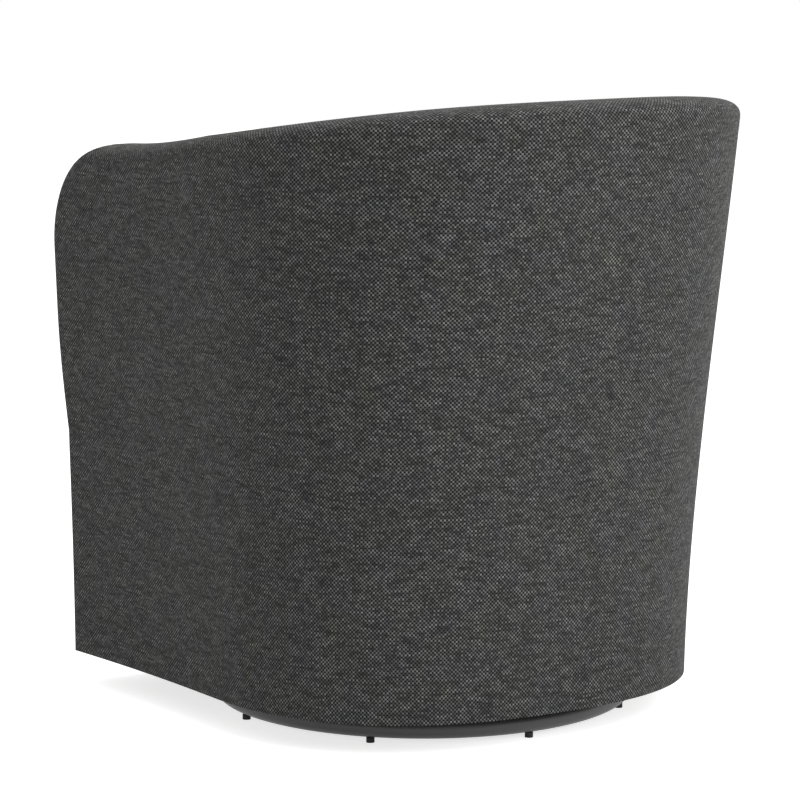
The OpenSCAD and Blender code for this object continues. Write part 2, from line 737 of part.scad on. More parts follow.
module crest_rail() {
    sink = roll_foot + gap;
    color("burlywood") between(
        [for (c = rail_columns) [for (w = [0, rib_w])
            sunk_point(c, rib_in + w, foam_depth(c) + sink)]],
        [for (c = rail_columns) [for (w = [0, rib_w])
            sunk_point(c, rib_in + w, foam_depth(c) + sink + rail_t)]]);
}

module liner_board() {
    columns = [for (i = [1:len(all_columns) - 2]) all_columns[i]];
    color("#8a6a45") wall_layer(columns, liner_in, liner_t, skirt_z + cover_t, tuck + frame_gap,
        wall_rows, border_t + gap - body_front - columns[0][7]);
}

module inner_board() {
    color("#8a6a45") wall_layer(rail_columns, board_in, board_t, seat_top + gap, roll_foot + gap,
        wall_rows / 2);
}

module outer_cover() {
    color("#3f3f3f") between(
        [for (c = all_columns) concat(
            [for (j = [0:wall_rows - 1]) flat_point(c, 0, j / wall_rows, skirt_z, c[5], 0)],
            [for (i = [0:roll_steps]) roll_point(c, i, 0)],
            [sunk_point(c, wall_t, foam_depth(c) + tuck)])],
        [for (c = all_columns) concat(
            [for (j = [0:wall_rows - 1]) flat_point(c, cover_t, j / wall_rows, skirt_z, c[5], 0)],
            [for (i = [0:roll_steps]) roll_point(c, i, cover_t)],
            [sunk_point(c, wall_t - cover_t, foam_depth(c) + tuck)])]);
}

// Foam roll along the crest and down the arm fronts, with a foot that stands on the crest rail
module edge_roll() {
    less = cover_t + gap;
    function foot_point(c, i) = let (d = foam_depth(c))
        i == 0 ? sunk_point(c, less, d + tuck)
        : i == 1 ? sunk_point(c, rib_in, d + tuck)
        : i < 6 ? sunk_point(c, rib_in + (rib_w - gap) * (i - 2) / 3, d + roll_foot)
        : i == 6 ? sunk_point(c, rib_in + rib_w - gap, d + tuck)
        : sunk_point(c, wall_t - less - (i == 7 ? wall_t / roll_steps : 0), d + tuck);
    color("#d8cba0") between(
        [for (c = all_columns) [for (i = [0:roll_steps]) roll_point(c, i, less)]],
        [for (c = all_columns) [for (i = [0:roll_steps]) foot_point(c, i)]]);
}

// Heights of the layers of the deck, whose top is level with the border's
webbing_z = seat_top + gap;
cross_z = webbing_z + webbing_t + gap;
deck_z = cross_z + webbing_t + gap;
deck_top = notch_z - gap;

// Height of the lowest front corner of the inside pad, where the arm front springs from the border
pad_start = 14;
// The columns that the inside pad follows: the first stands a little above the border
pad_columns = let (n = len(all_columns), first = all_columns[0], next = all_columns[1],
        f = pad_start / (next[2] - first[2]),
        low = [for (k = [0:6]) first[k] + (next[k] - first[k]) * f])
    concat([concat(low, [first[7] + foam_depth(first) - first[5] + tuck + gap, 1])],
        [for (i = [1:n - 2]) all_columns[i]],
        [concat(low, [first[7] + foam_depth(first) - first[5] + tuck + gap, -1])]);

// Extra thickness of the inside pad at the small of the back, in column c, a share of the way up
function swell(c, share) = c[0] < 0 ? 0 : lumbar * sin(c[0]) * pow(cos(90 * share), 2);

module inner_pad() {
    rows = wall_rows;
    color("#454545") between(
        [for (c = pad_columns) [for (j = [0:rows])
            flat_point(c, pad_in, j / rows, notch_z, foam_depth(c) + tuck + gap, 0)]],
        [for (c = pad_columns) [for (j = [0:rows])
            flat_point(c, wall_t + swell(c, j / rows), j / rows, notch_z,
                foam_depth(c) + tuck + gap, 0)]]);
}

// Straps laid side by side and cut to the deck's outline
module straps(z, along_y) {
    pitch = webbing_w + webbing_w / 2;
    reach = body_w;
    intersection() {
        translate([0, 0, z]) linear_extrude(webbing_t)
            polygon(plan_outline(seat_plate_z, pad_in, board_front));
        for (i = [-2:2]) if (along_y)
            translate([i * pitch - webbing_w / 2, -reach, z]) cube([webbing_w, 2 * reach, webbing_t]);
        else
            translate([-reach, i * pitch - webbing_w, z]) cube([2 * reach, webbing_w, webbing_t]);
    }
}

module webbing_long() {
    color("#2b2b2b") straps(webbing_z, true);
}

module webbing_cross() {
    color("#2b2b2b") straps(cross_z, false);
}

module deck_pad() {
    color("#30302f") translate([0, 0, deck_z]) linear_extrude(deck_top - deck_z)
        polygon(plan_outline(seat_plate_z, pad_in, board_front));
}

// Values of the border's soft front and how finely it is divided
border_crown = 4;
border_cols = 12;
border_rows = 4;

module front_border() {
    rear = -body_front + border_t;
    low = skirt_z;
    high = notch_z - gap;
    function crown(u, v) = border_crown * (1 - pow(abs(u), 4)) * sin(180 * v);
    function at_z(j) = low + (high - low) * j / border_rows;
    color("#3f3f3f") between(
        [for (i = [0:border_cols]) let (u = 2 * i / border_cols - 1) [for (j = [0:border_rows])
            let (z = at_z(j)) [u * (side_x(rear, z) - cover_t - gap),
                edge_y(z) - crown(u, j / border_rows), z]]],
        [for (i = [0:border_cols]) let (u = 2 * i / border_cols - 1) [for (j = [0:border_rows])
            let (z = at_z(j)) [u * (side_x(rear, z) - cover_t - gap), rear, z]]]);
}

// Thickness of the cloth under the bottom plate
cloth_t = 1;

module dust_cover() {
    color("#161616") band_plate(plate_z - cloth_t - gap, cloth_t, rib_in + cover_t,
        plate_band - 2 * cover_t, board_front + cover_t);
}

// Values of the cushion: its clearance, the bow of its front, and the middle of its plan
cushion_clear = 0.8;
cushion_bow = 6;
cushion_z = notch_z;
cushion_mid_y = -20;
corner_points = 4;
front_points = 3;
// Rows of the cushion from its underside to its crown: share of the plan, share of the edge's
// height, share of the crown, share of the swell
cushion_row_shares = [
    [0.5, 0, 0, 0], [0.96, 0, 0, 0], [0.995, 0.05, 0, 0], [1, 0.25, 0, 0.6], [1, 0.5, 0, 1],
    [1, 0.75, 0, 0.6], [0.995, 0.95, 0, 0], [0.965, 1, 0.06, 0], [0.88, 1, 0.36, 0],
    [0.74, 1, 0.64, 0], [0.55, 1, 0.86, 0], [0.3, 1, 0.97, 0]];

// Share of the inside pad's height that z stands at in column c
function pad_share(c, z) = (z - notch_z) / (c[2] - foam_depth(c) - tuck - gap - notch_z);
// Left half of the cushion's outline in plan at height z, between the inside arms and before
// the inside back, from the middle of its front to the middle of its back
function cushion_half(z) =
    let (side = function (y) side_x(y, z) - wall_t - cushion_clear,
        flat_x = side(-arm_front) - cushion_r)
    concat(
        [for (i = [0:front_points - 1]) let (u = i / front_points)
            [flat_x * u, -arm_front - cushion_bow * (1 - u * u)]],
        [for (i = [0:corner_points]) let (t = 90 * i / corner_points,
                y = -arm_front + cushion_r * (1 - cos(t)))
            [side(y) - cushion_r * (1 - sin(t)), y]],
        [for (i = [1:arm_steps - 1]) let (y = -arm_front + cushion_r
                + (shoulder_y + arm_front - cushion_r) * i / arm_steps)
            [side(y), y]],
        [for (i = [0:curve_steps]) let (c = concat(curve_column(90 * i / curve_steps), [1]),
                p = wall_point(c, wall_t + swell(c, pad_share(c, z)) + cushion_clear, 0, z))
            [p[0], p[1]]]);
function cushion_plan(z) = let (half = cushion_half(z), n = len(half))
    concat(half, [for (i = [n - 2:-1:1]) [-half[i][0], half[i][1]]]);

module seat_cushion() {
    rows = cushion_row_shares;
    m = len(cushion_plan(cushion_z));
    centre = [0, cushion_mid_y];
    function front_share(p) =
        pow(max(0, min(1, (-arm_front + cushion_r - p[1]) / cushion_r)), 2);
    function row_point(r, p) = let (q = centre + (p - centre) * r[0])
        [q[0], q[1] - cushion_swell * r[3] * front_share(p),
            cushion_z + cushion_h * r[1] + cushion_crown * r[2]];
    points = concat(
        [for (r = rows) each [for (p = cushion_plan(cushion_z + cushion_h * r[1])) row_point(r, p)]],
        [[0, cushion_mid_y, cushion_z], [0, cushion_mid_y, cushion_z + cushion_h + cushion_crown]]);
    low = len(rows) * m;
    function at(r, i) = r * m + i % m;
    color("#454545") polyhedron(points = points, faces = [
        for (r = [0:len(rows) - 2], i = [0:m - 1]) each [
            [at(r, i), at(r + 1, i), at(r + 1, i + 1)], [at(r, i), at(r + 1, i + 1), at(r, i + 1)]],
        for (i = [0:m - 1]) [low, at(0, i), at(0, i + 1)],
        for (i = [0:m - 1]) [low + 1, at(len(rows) - 1, i + 1), at(len(rows) - 1, i)]]);
}

base_ring();
ring_feet();
lower_race();
swivel_bolt();
swivel_nut();
ball_cage();
bearing_balls();
upper_race();
swivel_cradle();
thrust_washer();
pivot_bushes();
stop_buffers();
tilt_frame();
pivot_rod();
rod_clips();
rocker_spring(1, -1);  // spring_front_left
rocker_spring(-1, -1);  // spring_front_right
rocker_spring(1, 1);  // spring_rear_left
rocker_spring(-1, 1);  // spring_rear_right
mounting_bolts();
tee_nuts();
slat(-1);  // slat_front
slat(1);  // slat_rear
side_rail(1);  // side_rail_left
side_rail(-1);  // side_rail_right
corner_blocks();
bottom_plate();
seat_plate();
front_panel();
arm_post(1);  // arm_post_left
arm_post(-1);  // arm_post_right
lower_ribs();
upper_rib(arm_rib, 1);  // arm_rib_left
upper_rib(arm_rib, -1);  // arm_rib_right
upper_rib(shoulder_rib, 1);  // shoulder_rib_left
upper_rib(shoulder_rib, -1);  // shoulder_rib_right
upper_rib(back_rib, 1);  // back_rib_left
upper_rib(back_rib, -1);  // back_rib_right
upper_rib(middle_rib, 1);  // back_rib_middle
crest_rail();
liner_board();
inner_board();
webbing_long();
webbing_cross();
deck_pad();
edge_roll();
inner_pad();
outer_cover();
front_border();
dust_cover();
seat_cushion();
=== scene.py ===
import math

import bmesh
import bpy
import numpy as np
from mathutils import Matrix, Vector


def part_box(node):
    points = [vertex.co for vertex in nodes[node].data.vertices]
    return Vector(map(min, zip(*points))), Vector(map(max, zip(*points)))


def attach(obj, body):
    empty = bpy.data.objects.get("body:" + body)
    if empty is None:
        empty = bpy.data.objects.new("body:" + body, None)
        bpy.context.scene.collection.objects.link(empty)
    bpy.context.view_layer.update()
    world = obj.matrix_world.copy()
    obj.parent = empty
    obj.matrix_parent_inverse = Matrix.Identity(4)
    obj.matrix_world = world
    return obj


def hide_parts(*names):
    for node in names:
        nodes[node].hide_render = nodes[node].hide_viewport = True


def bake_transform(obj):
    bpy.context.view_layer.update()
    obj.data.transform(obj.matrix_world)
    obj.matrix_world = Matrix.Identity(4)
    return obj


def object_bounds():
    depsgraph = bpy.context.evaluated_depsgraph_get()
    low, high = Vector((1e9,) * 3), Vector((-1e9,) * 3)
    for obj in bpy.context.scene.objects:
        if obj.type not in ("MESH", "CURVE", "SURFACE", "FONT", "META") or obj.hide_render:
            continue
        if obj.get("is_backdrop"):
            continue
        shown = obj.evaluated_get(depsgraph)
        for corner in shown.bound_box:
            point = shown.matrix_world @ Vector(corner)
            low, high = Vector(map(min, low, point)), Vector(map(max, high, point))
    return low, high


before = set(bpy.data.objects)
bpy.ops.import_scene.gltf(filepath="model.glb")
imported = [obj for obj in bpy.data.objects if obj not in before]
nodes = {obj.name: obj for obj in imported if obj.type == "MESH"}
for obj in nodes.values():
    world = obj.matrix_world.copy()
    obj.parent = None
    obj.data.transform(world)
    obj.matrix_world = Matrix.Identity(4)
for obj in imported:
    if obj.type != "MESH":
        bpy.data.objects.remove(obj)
cad_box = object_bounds()

# Camera
# The chair is seen from behind and from its own left, a little above the middle of its height,
# from so far away that upright edges stay almost parallel.
VIEW_AZIMUTH = math.radians(147.097)
VIEW_ELEVATION = math.radians(8.7286)
VIEW_DISTANCE = 4.5233
VIEW_AIM = Vector((0.0306, -0.0054, 0.3746))
VIEW_LENS = 165.555

view_back = Vector((math.sin(VIEW_AZIMUTH) * math.cos(VIEW_ELEVATION),
                    -math.cos(VIEW_AZIMUTH) * math.cos(VIEW_ELEVATION),
                    math.sin(VIEW_ELEVATION)))
camera = bpy.data.objects.new("camera", bpy.data.cameras.new("camera"))
camera.data.lens = VIEW_LENS
camera.location = VIEW_AIM + view_back * VIEW_DISTANCE
camera.rotation_mode = "QUATERNION"
camera.rotation_quaternion = (-view_back).to_track_quat("-Z", "Y")
bpy.context.scene.collection.objects.link(camera)
bpy.context.scene.camera = camera
bpy.context.scene.view_settings.view_transform = "Standard"


# Studio
# A pale floor and backdrop, which the camera and bright metal see as white, a large soft lamp on
# the right of the picture, another overhead, and even light from all round.
WHITE = (1.0, 1.0, 1.0, 1.0)
FLOOR_RADIUS = 9.0
FLOOR_GREY = (0.75, 0.75, 0.75, 1.0)
FLOOR_GLOW = 0.72
ROOM_LIGHT = 0.72
# Lamps: place right of, above and before the aim, seen from the camera, then size and watts
LAMPS = {"key_lamp": ((2.4, 1.5, 2.2), 2.2, 78.0),
         "top_lamp": ((0.0, 3.2, -0.3), 2.4, 34.0)}


class Socket:
    """An output of a shader node. Operators on it add Math nodes, and node() adds any other."""

    def __init__(self, link):
        self.link = link

    def node(self, kind, settings, values, output=0):
        """Adds a node of a kind, sets its settings and then its sockets, and gives an output."""
        tree = self.link.id_data
        made = tree.nodes.new(kind)
        for name, value in settings.items():
            setattr(made, name, value)
        for name, value in values.items():
            if isinstance(value, Socket):
                tree.links.new(value.link, made.inputs[name])
            else:
                made.inputs[name].default_value = value
        return Socket(made.outputs[output])

    def other(self, output):
        return Socket(self.link.node.outputs[output])

    def math(self, operation, *values):
        return self.node("ShaderNodeMath", {"operation": operation}, dict(enumerate(values)))

    def __add__(self, value):
        return self.math("ADD", self, value)

    def __sub__(self, value):
        return self.math("SUBTRACT", self, value)

    def __rsub__(self, value):
        return self.math("SUBTRACT", value, self)

    def __mul__(self, value):
        return self.math("MULTIPLY", self, value)

    def __mod__(self, value):
        return self.math("FLOORED_MODULO", self, value)

    __radd__ = __add__
    __rmul__ = __mul__


def seen_white(tree):
    """1 where a camera, glossy or transmission ray looks, else 0, as a Socket of the tree."""
    path = tree.nodes.new("ShaderNodeLightPath").outputs
    return (Socket(path["Is Camera Ray"]) + Socket(path["Is Glossy Ray"])
            + Socket(path["Is Transmission Ray"]))


world = bpy.data.worlds.new("room")
world.use_nodes = True
bpy.context.scene.world = world
room = world.node_tree
seen = seen_white(room)
room.nodes["Background"].inputs["Color"].default_value = WHITE
room.links.new((seen + (1 - seen) * ROOM_LIGHT).link, room.nodes["Background"].inputs["Strength"])

floor_paint = bpy.data.materials.new("floor_paint")
floor_paint.use_nodes = True
tree = floor_paint.node_tree
shader = tree.nodes["Principled BSDF"]
shader.inputs["Base Color"].default_value = FLOOR_GREY
shader.inputs["Roughness"].default_value = 1.0
shader.inputs["Specular IOR Level"].default_value = 0.0
shader.inputs["Emission Color"].default_value = WHITE
tree.links.new((seen_white(tree) * FLOOR_GLOW).link, shader.inputs["Emission Strength"])

around = np.linspace(0, 2 * math.pi, 64, endpoint=False)
rim = np.stack([np.cos(around), np.sin(around), 0 * around], -1) * FLOOR_RADIUS
floor_mesh = bpy.data.meshes.new("floor")
floor_mesh.from_pydata(rim.tolist(), [], [list(range(len(rim)))])
floor_mesh.materials.append(floor_paint)
floor = bpy.data.objects.new("floor", floor_mesh)
bpy.context.scene.collection.objects.link(floor)
floor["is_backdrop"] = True

view_turn = camera.rotation_quaternion
for name, (place, size, watts) in LAMPS.items():
    lamp = bpy.data.objects.new(name, bpy.data.lights.new(name, "AREA"))
    lamp.data.size = size
    lamp.data.energy = watts
    lamp.location = VIEW_AIM + view_turn @ Vector(place)
    lamp.rotation_mode = "QUATERNION"
    lamp.rotation_quaternion = (VIEW_AIM - lamp.location).to_track_quat("-Z", "Y")
    bpy.context.scene.collection.objects.link(lamp)


# Ring base
# A ring of welded round tube with two crossed bars and a hub plate, powder coated in a satin
# dark grey that shows a fine orange peel.
RING_DARK = (0.034, 0.034, 0.034, 1.0)
RING_LIGHT = (0.052, 0.052, 0.052, 1.0)


def finish(name, constants):
    """Material of one Principled shader with its constants set on the shader's own sockets.
    Gives the material, a function that feeds a socket to the shader, and Object coordinates."""
    material = bpy.data.materials.new(name)
    material.use_nodes = True
    tree = material.node_tree
    shader = tree.nodes["Principled BSDF"]
    for socket, value in constants.items():
        shader.inputs[socket].default_value = value

    def feed(socket, value):
        tree.links.new(value.link, shader.inputs[socket])

    return material, feed, Socket(tree.nodes.new("ShaderNodeTexCoord").outputs["Object"])


def noise(place, scale, detail=2.0):
    """Cloudy noise from 0 to 1 with that many features a metre."""
    return place.node("ShaderNodeTexNoise", {},
                      {"Vector": place, "Scale": scale, "Detail": detail})


def mixed(share, low, high):
    """Colour that goes from low to high as share goes from 0 to 1."""
    return share.node("ShaderNodeMix", {"data_type": "RGBA"}, {0: share, 6: low, 7: high}, 2)


def bump(height, strength, distance):
    """Normal of a surface whose height, from 0 to 1, stands for that distance."""
    return height.node("ShaderNodeBump", {},
                       {"Height": height, "Strength": strength, "Distance": distance})


def spread(value, low, high):
    """Share of the way from low to high that a value stands at, held within 0 and 1."""
    return value.node("ShaderNodeMapRange", {},
                      {"Value": value, "From Min": low, "From Max": high})


def dress(names, material):
    """Gives CAD nodes a material."""
    for name in names:
        nodes[name].data.materials.clear()
        nodes[name].data.materials.append(material)


ring_paint, feed, place = finish("ring_paint", {"Specular IOR Level": 0.55})
cloud = noise(place, 14.0)
feed("Base Color", mixed(cloud, RING_DARK, RING_LIGHT))
feed("Roughness", 0.36 + 0.12 * cloud)
feed("Normal", bump(noise(place, 900.0), 0.35, 0.0003))
dress(["base_ring"], ring_paint)


# Rubber feet and buffers
# Moulded black rubber: round feet with stems pressed into the ring, and four stops on the
# cradle, matt with a dusty grey bloom.
RUBBER_BLACK = (0.010, 0.010, 0.010, 1.0)
RUBBER_BLOOM = (0.030, 0.030, 0.029, 1.0)

rubber, feed, place = finish("black_rubber", {"Specular IOR Level": 0.35})
bloom = noise(place, 160.0, 4.0)
feed("Base Color", mixed(bloom, RUBBER_BLACK, RUBBER_BLOOM))
feed("Roughness", 0.62 + 0.25 * bloom)
feed("Normal", bump(noise(place, 1400.0), 0.3, 0.0002))
dress(["ring_feet", "stop_buffers"], rubber)


# Swivel bearing
# Two zinc plated races with polished balls between them in a thin brass cage, held by a bolt
# and its nut over a nylon washer. Plating is bright with cloudy patches and turning marks.
ZINC_DARK = (0.34, 0.34, 0.32, 1.0)
ZINC_LIGHT = (0.56, 0.56, 0.53, 1.0)
STEEL_BRIGHT = (0.62, 0.62, 0.63, 1.0)
BRASS_DARK = (0.38, 0.25, 0.07, 1.0)
BRASS_LIGHT = (0.62, 0.43, 0.15, 1.0)
NYLON_DARK = (0.62, 0.60, 0.55, 1.0)
NYLON_LIGHT = (0.78, 0.77, 0.73, 1.0)

zinc, feed, place = finish("zinc_steel", {"Metallic": 1.0})
patches = noise(place, 70.0, 5.0)
feed("Base Color", mixed(spread(patches, 0.3, 0.7), ZINC_DARK, ZINC_LIGHT))
feed("Roughness", 0.26 + 0.22 * patches)
feed("Normal", bump(noise(place, 2200.0), 0.12, 0.0001))
dress(["lower_race", "upper_race", "swivel_bolt", "swivel_nut", "pivot_rod", "rod_clips",
       "mounting_bolts", "tee_nuts"], zinc)

ball_steel, feed, place = finish("ball_steel", {"Metallic": 1.0, "Base Color": STEEL_BRIGHT})
feed("Roughness", 0.06 + 0.08 * noise(place, 300.0))
dress(["bearing_balls"], ball_steel)

brass, feed, place = finish("cage_brass", {"Metallic": 1.0})
stain = noise(place, 90.0, 4.0)
feed("Base Color", mixed(spread(stain, 0.3, 0.7), BRASS_DARK, BRASS_LIGHT))
feed("Roughness", 0.3 + 0.2 * stain)
dress(["ball_cage"], brass)

nylon, feed, place = finish("white_nylon", {"Subsurface Weight": 0.1, "Subsurface Scale": 0.002})
milk = noise(place, 120.0)
feed("Base Color", mixed(milk, NYLON_DARK, NYLON_LIGHT))
feed("Roughness", 0.42 + 0.15 * milk)
dress(["thrust_washer", "pivot_bushes"], nylon)


# Cradle and tilt frame
# Folded steel plates painted semi-gloss black. The cradle turns with the upper race, and the
# tilt frame hangs on the pivot rod between its ears.
MECH_BLACK = (0.012, 0.012, 0.013, 1.0)
MECH_WORN = (0.032, 0.032, 0.034, 1.0)

mechanism_paint, feed, place = finish("mechanism_paint", {"Specular IOR Level": 0.6})
scuffs = noise(place, 55.0, 6.0)
feed("Base Color", mixed(spread(scuffs, 0.45, 0.75), MECH_BLACK, MECH_WORN))
feed("Roughness", 0.3 + 0.25 * scuffs)
feed("Normal", bump(noise(place, 700.0), 0.25, 0.0003))
dress(["swivel_cradle", "tilt_frame"], mechanism_paint)


# Rocker springs
# Four coils of oiled round wire between the cradle and the tilt frame, with their last half
# turns laid flat.
WIRE_D = 0.0055
SPRING_TURNS = 5
SEAT_TURNS = 0.6          # turns that lie flat at each end
STEADY_RISE = 0.92        # share of the climb that is even; the rest eases in and out
RINGS_A_TURN = 32
WIRE_SIDES = 14
WIRE_DARK = (0.055, 0.055, 0.060, 1.0)
WIRE_LIGHT = (0.160, 0.155, 0.150, 1.0)


def grid_mesh(name, points, cloth=None, around=False):
    """Piece from a grid of points, columns by rows, with a face between each four neighbours.
    cloth holds each point's place on the flat fabric, and around joins the rows' two ends.
    Points that lie on each other are joined, and all faces turned outwards."""
    columns, rows = points.shape[:2]
    index = np.arange(columns * rows).reshape(columns, rows)
    if around:
        index = np.hstack([index, index[:, :1]])
    faces = np.stack([index[:-1, :-1], index[1:, :-1], index[1:, 1:], index[:-1, 1:]], -1)
    faces = faces.reshape(-1, 4)
    mesh = bpy.data.meshes.new(name)
    mesh.from_pydata(points.reshape(-1, 3).tolist(), [], faces.tolist())
    if cloth is not None:
        layer = mesh.uv_layers.new(name="cloth")
        layer.data.foreach_set("uv", cloth.reshape(-1, 2)[faces.ravel()].ravel())
    shell = bmesh.new()
    shell.from_mesh(mesh)
    bmesh.ops.remove_doubles(shell, verts=shell.verts, dist=1e-6)
    bmesh.ops.recalc_face_normals(shell, faces=shell.faces)
    shell.to_mesh(mesh)
    shell.free()
    mesh.shade_smooth()
    piece = bpy.data.objects.new(name, mesh)
    bpy.context.scene.collection.objects.link(piece)
    return piece


def tube(name, path, reference, radius, sides, closed=False):
    """Round tube along a path: each ring lies square to the path, and its first point lies
    towards the reference direction there. Open ends are drawn together to a point."""
    if closed:
        along = np.roll(path, -1, 0) - np.roll(path, 1, 0)
    else:
        along = np.gradient(path, axis=0)
    along /= np.linalg.norm(along, axis=1, keepdims=True)
    out = reference - (reference * along).sum(1, keepdims=True) * along
    out /= np.linalg.norm(out, axis=1, keepdims=True)
    turn = np.linspace(0, 2 * math.pi, sides, endpoint=False)[None, :, None]
    rings = path[:, None] + radius * (out[:, None] * np.cos(turn)
                                      + np.cross(along, out)[:, None] * np.sin(turn))
    length = np.append(0, np.cumsum(np.linalg.norm(np.diff(path, axis=0), axis=1)))
    if closed:
        rings = np.concatenate([rings, rings[:1]])
        length = np.append(length, length[-1] + np.linalg.norm(path[0] - path[-1]))
    else:
        points = [np.repeat(path[end][None, None], sides, 1) for end in (0, -1)]
        rings = np.concatenate([points[0], rings, points[1]])
        length = np.concatenate([length[:1], length, length[-1:]])
    cloth = np.stack(np.broadcast_arrays(length[:, None], turn[..., 0] * radius), -1)
    return grid_mesh(name, rings, cloth, around=True)


def joined(name, pieces):
    """One piece made of several."""
    with bpy.context.temp_override(active_object=pieces[0], selected_editable_objects=pieces):
        bpy.ops.object.join()
    pieces[0].name = name
    return pieces[0]


spring_steel, feed, place = finish("spring_steel", {"Metallic": 1.0})
oil = noise(place, 240.0, 4.0)
feed("Base Color", mixed(oil, WIRE_DARK, WIRE_LIGHT))
feed("Roughness", 0.28 + 0.3 * oil)

for corner in ("front_left", "front_right", "rear_left", "rear_right"):
    low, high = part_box("spring_" + corner)
    centre = (low + high) / 2
    coil_r = (high.x - low.x - WIRE_D) / 2
    turns = np.linspace(0, SPRING_TURNS, RINGS_A_TURN * SPRING_TURNS + 1)
    rise = np.clip((turns - SEAT_TURNS) / (SPRING_TURNS - 2 * SEAT_TURNS), 0, 1)
    rise = STEADY_RISE * rise + (1 - STEADY_RISE) * rise * rise * (3 - 2 * rise)
    angle = 2 * math.pi * turns
    out = np.stack([np.cos(angle), np.sin(angle), 0 * angle], -1)
    path = out * coil_r + np.array([centre.x, centre.y, 0])
    path[:, 2] = low.z + WIRE_D / 2 + (high.z - low.z - WIRE_D) * rise
    spring = tube("rocker_spring_" + corner, path, out, WIRE_D / 2, WIRE_SIDES)
    spring.data.materials.append(spring_steel)
    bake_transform(spring)
    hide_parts("spring_" + corner)


# Wooden frame
# Plywood plates, ribs and front panel with hardwood rails, slats, posts and glue blocks, and
# thin bent boards that line the wall. All of it is left raw, sawn and sanded.
BEECH_DARK = (0.36, 0.22, 0.10, 1.0)
BEECH_LIGHT = (0.55, 0.38, 0.20, 1.0)
PLY_DARK = (0.42, 0.27, 0.13, 1.0)
PLY_LIGHT = (0.66, 0.49, 0.29, 1.0)
BOARD_DARK = (0.17, 0.10, 0.05, 1.0)
BOARD_LIGHT = (0.33, 0.21, 0.11, 1.0)
PLY_VENEER = 0.0018


def wood_grain(place, stretch):
    """Streaks that run along the axis in which stretch is small."""
    drawn = place.node("ShaderNodeMapping", {}, {"Vector": place, "Scale": stretch})
    return spread(noise(drawn, 1.0, 6.0), 0.3, 0.7)


hardwood, feed, place = finish("hardwood", {})
grain = wood_grain(place, (60.0, 9.0, 220.0))
feed("Base Color", mixed(grain, BEECH_DARK, BEECH_LIGHT))
feed("Roughness", 0.55 + 0.2 * grain)
feed("Normal", bump(grain, 0.2, 0.0004))
dress(["slat_front", "slat_rear", "side_rail_left", "side_rail_right", "corner_blocks",
       "arm_post_left", "arm_post_right", "crest_rail"], hardwood)

plywood, feed, place = finish("plywood", {})
grain = wood_grain(place, (9.0, 120.0, 120.0))
plies = place.node("ShaderNodeSeparateXYZ", {}, {0: place}, 2) * (0.5 / PLY_VENEER)
ply_edge = plies.math("FRACT", plies)
feed("Base Color", mixed(0.7 * grain + 0.25 * ply_edge.math("GREATER_THAN", ply_edge, 0.5),
                         PLY_DARK, PLY_LIGHT))
feed("Roughness", 0.6 + 0.2 * grain)
feed("Normal", bump(grain, 0.2, 0.0004))
dress(["bottom_plate", "seat_plate"], plywood)

upright_ply, feed, place = finish("upright_plywood", {})
grain = wood_grain(place, (120.0, 120.0, 9.0))
feed("Base Color", mixed(grain, PLY_DARK, PLY_LIGHT))
feed("Roughness", 0.6 + 0.2 * grain)
feed("Normal", bump(grain, 0.2, 0.0004))
dress(["front_panel", "lower_ribs", "arm_rib_left", "arm_rib_right", "back_rib_left",
       "back_rib_middle", "back_rib_right", "shoulder_rib_left", "shoulder_rib_right"], upright_ply)

fibreboard, feed, place = finish("fibreboard", {})
fleck = noise(place, 500.0, 6.0)
feed("Base Color", mixed(spread(fleck, 0.3, 0.7), BOARD_DARK, BOARD_LIGHT))
feed("Roughness", 0.7 + 0.2 * fleck)
feed("Normal", bump(fleck, 0.2, 0.0004))
dress(["liner_board", "inner_board"], fibreboard)


# Seat webbing
# Five black woven straps each way, laced over and under each other and stapled to the top of
# the seat plate. Their ends follow the line of the wall.
STRAP_W = 0.050
STRAP_PITCH = 0.075
STRAP_T = 0.002
STRAP_MID_Y = -0.025
STRAP_YARN = 0.0022
STRAP_DARK = (0.014, 0.014, 0.015, 1.0)
STRAP_LIGHT = (0.055, 0.055, 0.058, 1.0)
STRAP_EDGE = 0.9          # share of the width out to which a strap keeps its thickness
STRAP_EDGE_T = 0.6        # share of the thickness at the selvedge
STRAP_STEPS = 61
LACING_STEEPNESS = 4
GAP = 0.0003              # air between pieces that lie on each other
PAD_IN = 0.0529           # outside of the wall to the back of the inside pad
BODY_W = 0.6175           # at the lower edge
BODY_BACK = 0.299         # swivel axis to the back of the lower edge
SHOULDER_Y = 0.006        # where the sides turn into the back curve
SIDE_FLARE = 0.028
BACK_LEAN = 0.104
FLARE_SHARES = (0.48, 1.12, -0.6)
LEAN_SHARES = (0.17, 1.62, -0.79)
PLAN_POWER = 2.43         # exponent of the superellipse that the back follows in plan

strap_web, feed, place = finish("webbing", {"Sheen Weight": 0.2})
grid = place.node("ShaderNodeUVMap", {"uv_map": "cloth"}, {})
split = grid.node("ShaderNodeSeparateXYZ", {}, {0: grid})
across, along = split * (1 / STRAP_YARN), split.other(1) * (1 / STRAP_YARN)
herringbone = along.math("SINE", (along + across) * math.pi)
ribs = herringbone.math("ABSOLUTE", herringbone)
feed("Base Color", mixed(ribs, STRAP_DARK, STRAP_LIGHT))
feed("Roughness", 0.7 + 0.2 * ribs)
feed("Normal", bump(ribs, 0.5, 0.0006))

cover_low, cover_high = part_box("outer_cover")
SKIRT_Z = cover_low.z
BACK_H = cover_high.z


def cubic(shares, s):
    """Sum of the first three powers of s, each times its share."""
    return shares[0] * s + shares[1] * s ** 2 + shares[2] * s ** 3


def height_share(z):
    """Share of the body's height that z stands at."""
    return (z - SKIRT_Z) / (BACK_H - SKIRT_Z)


def half_width(z):
    """Half width of the body, which flares with the height."""
    return BODY_W / 2 + SIDE_FLARE * cubic(FLARE_SHARES, height_share(z))


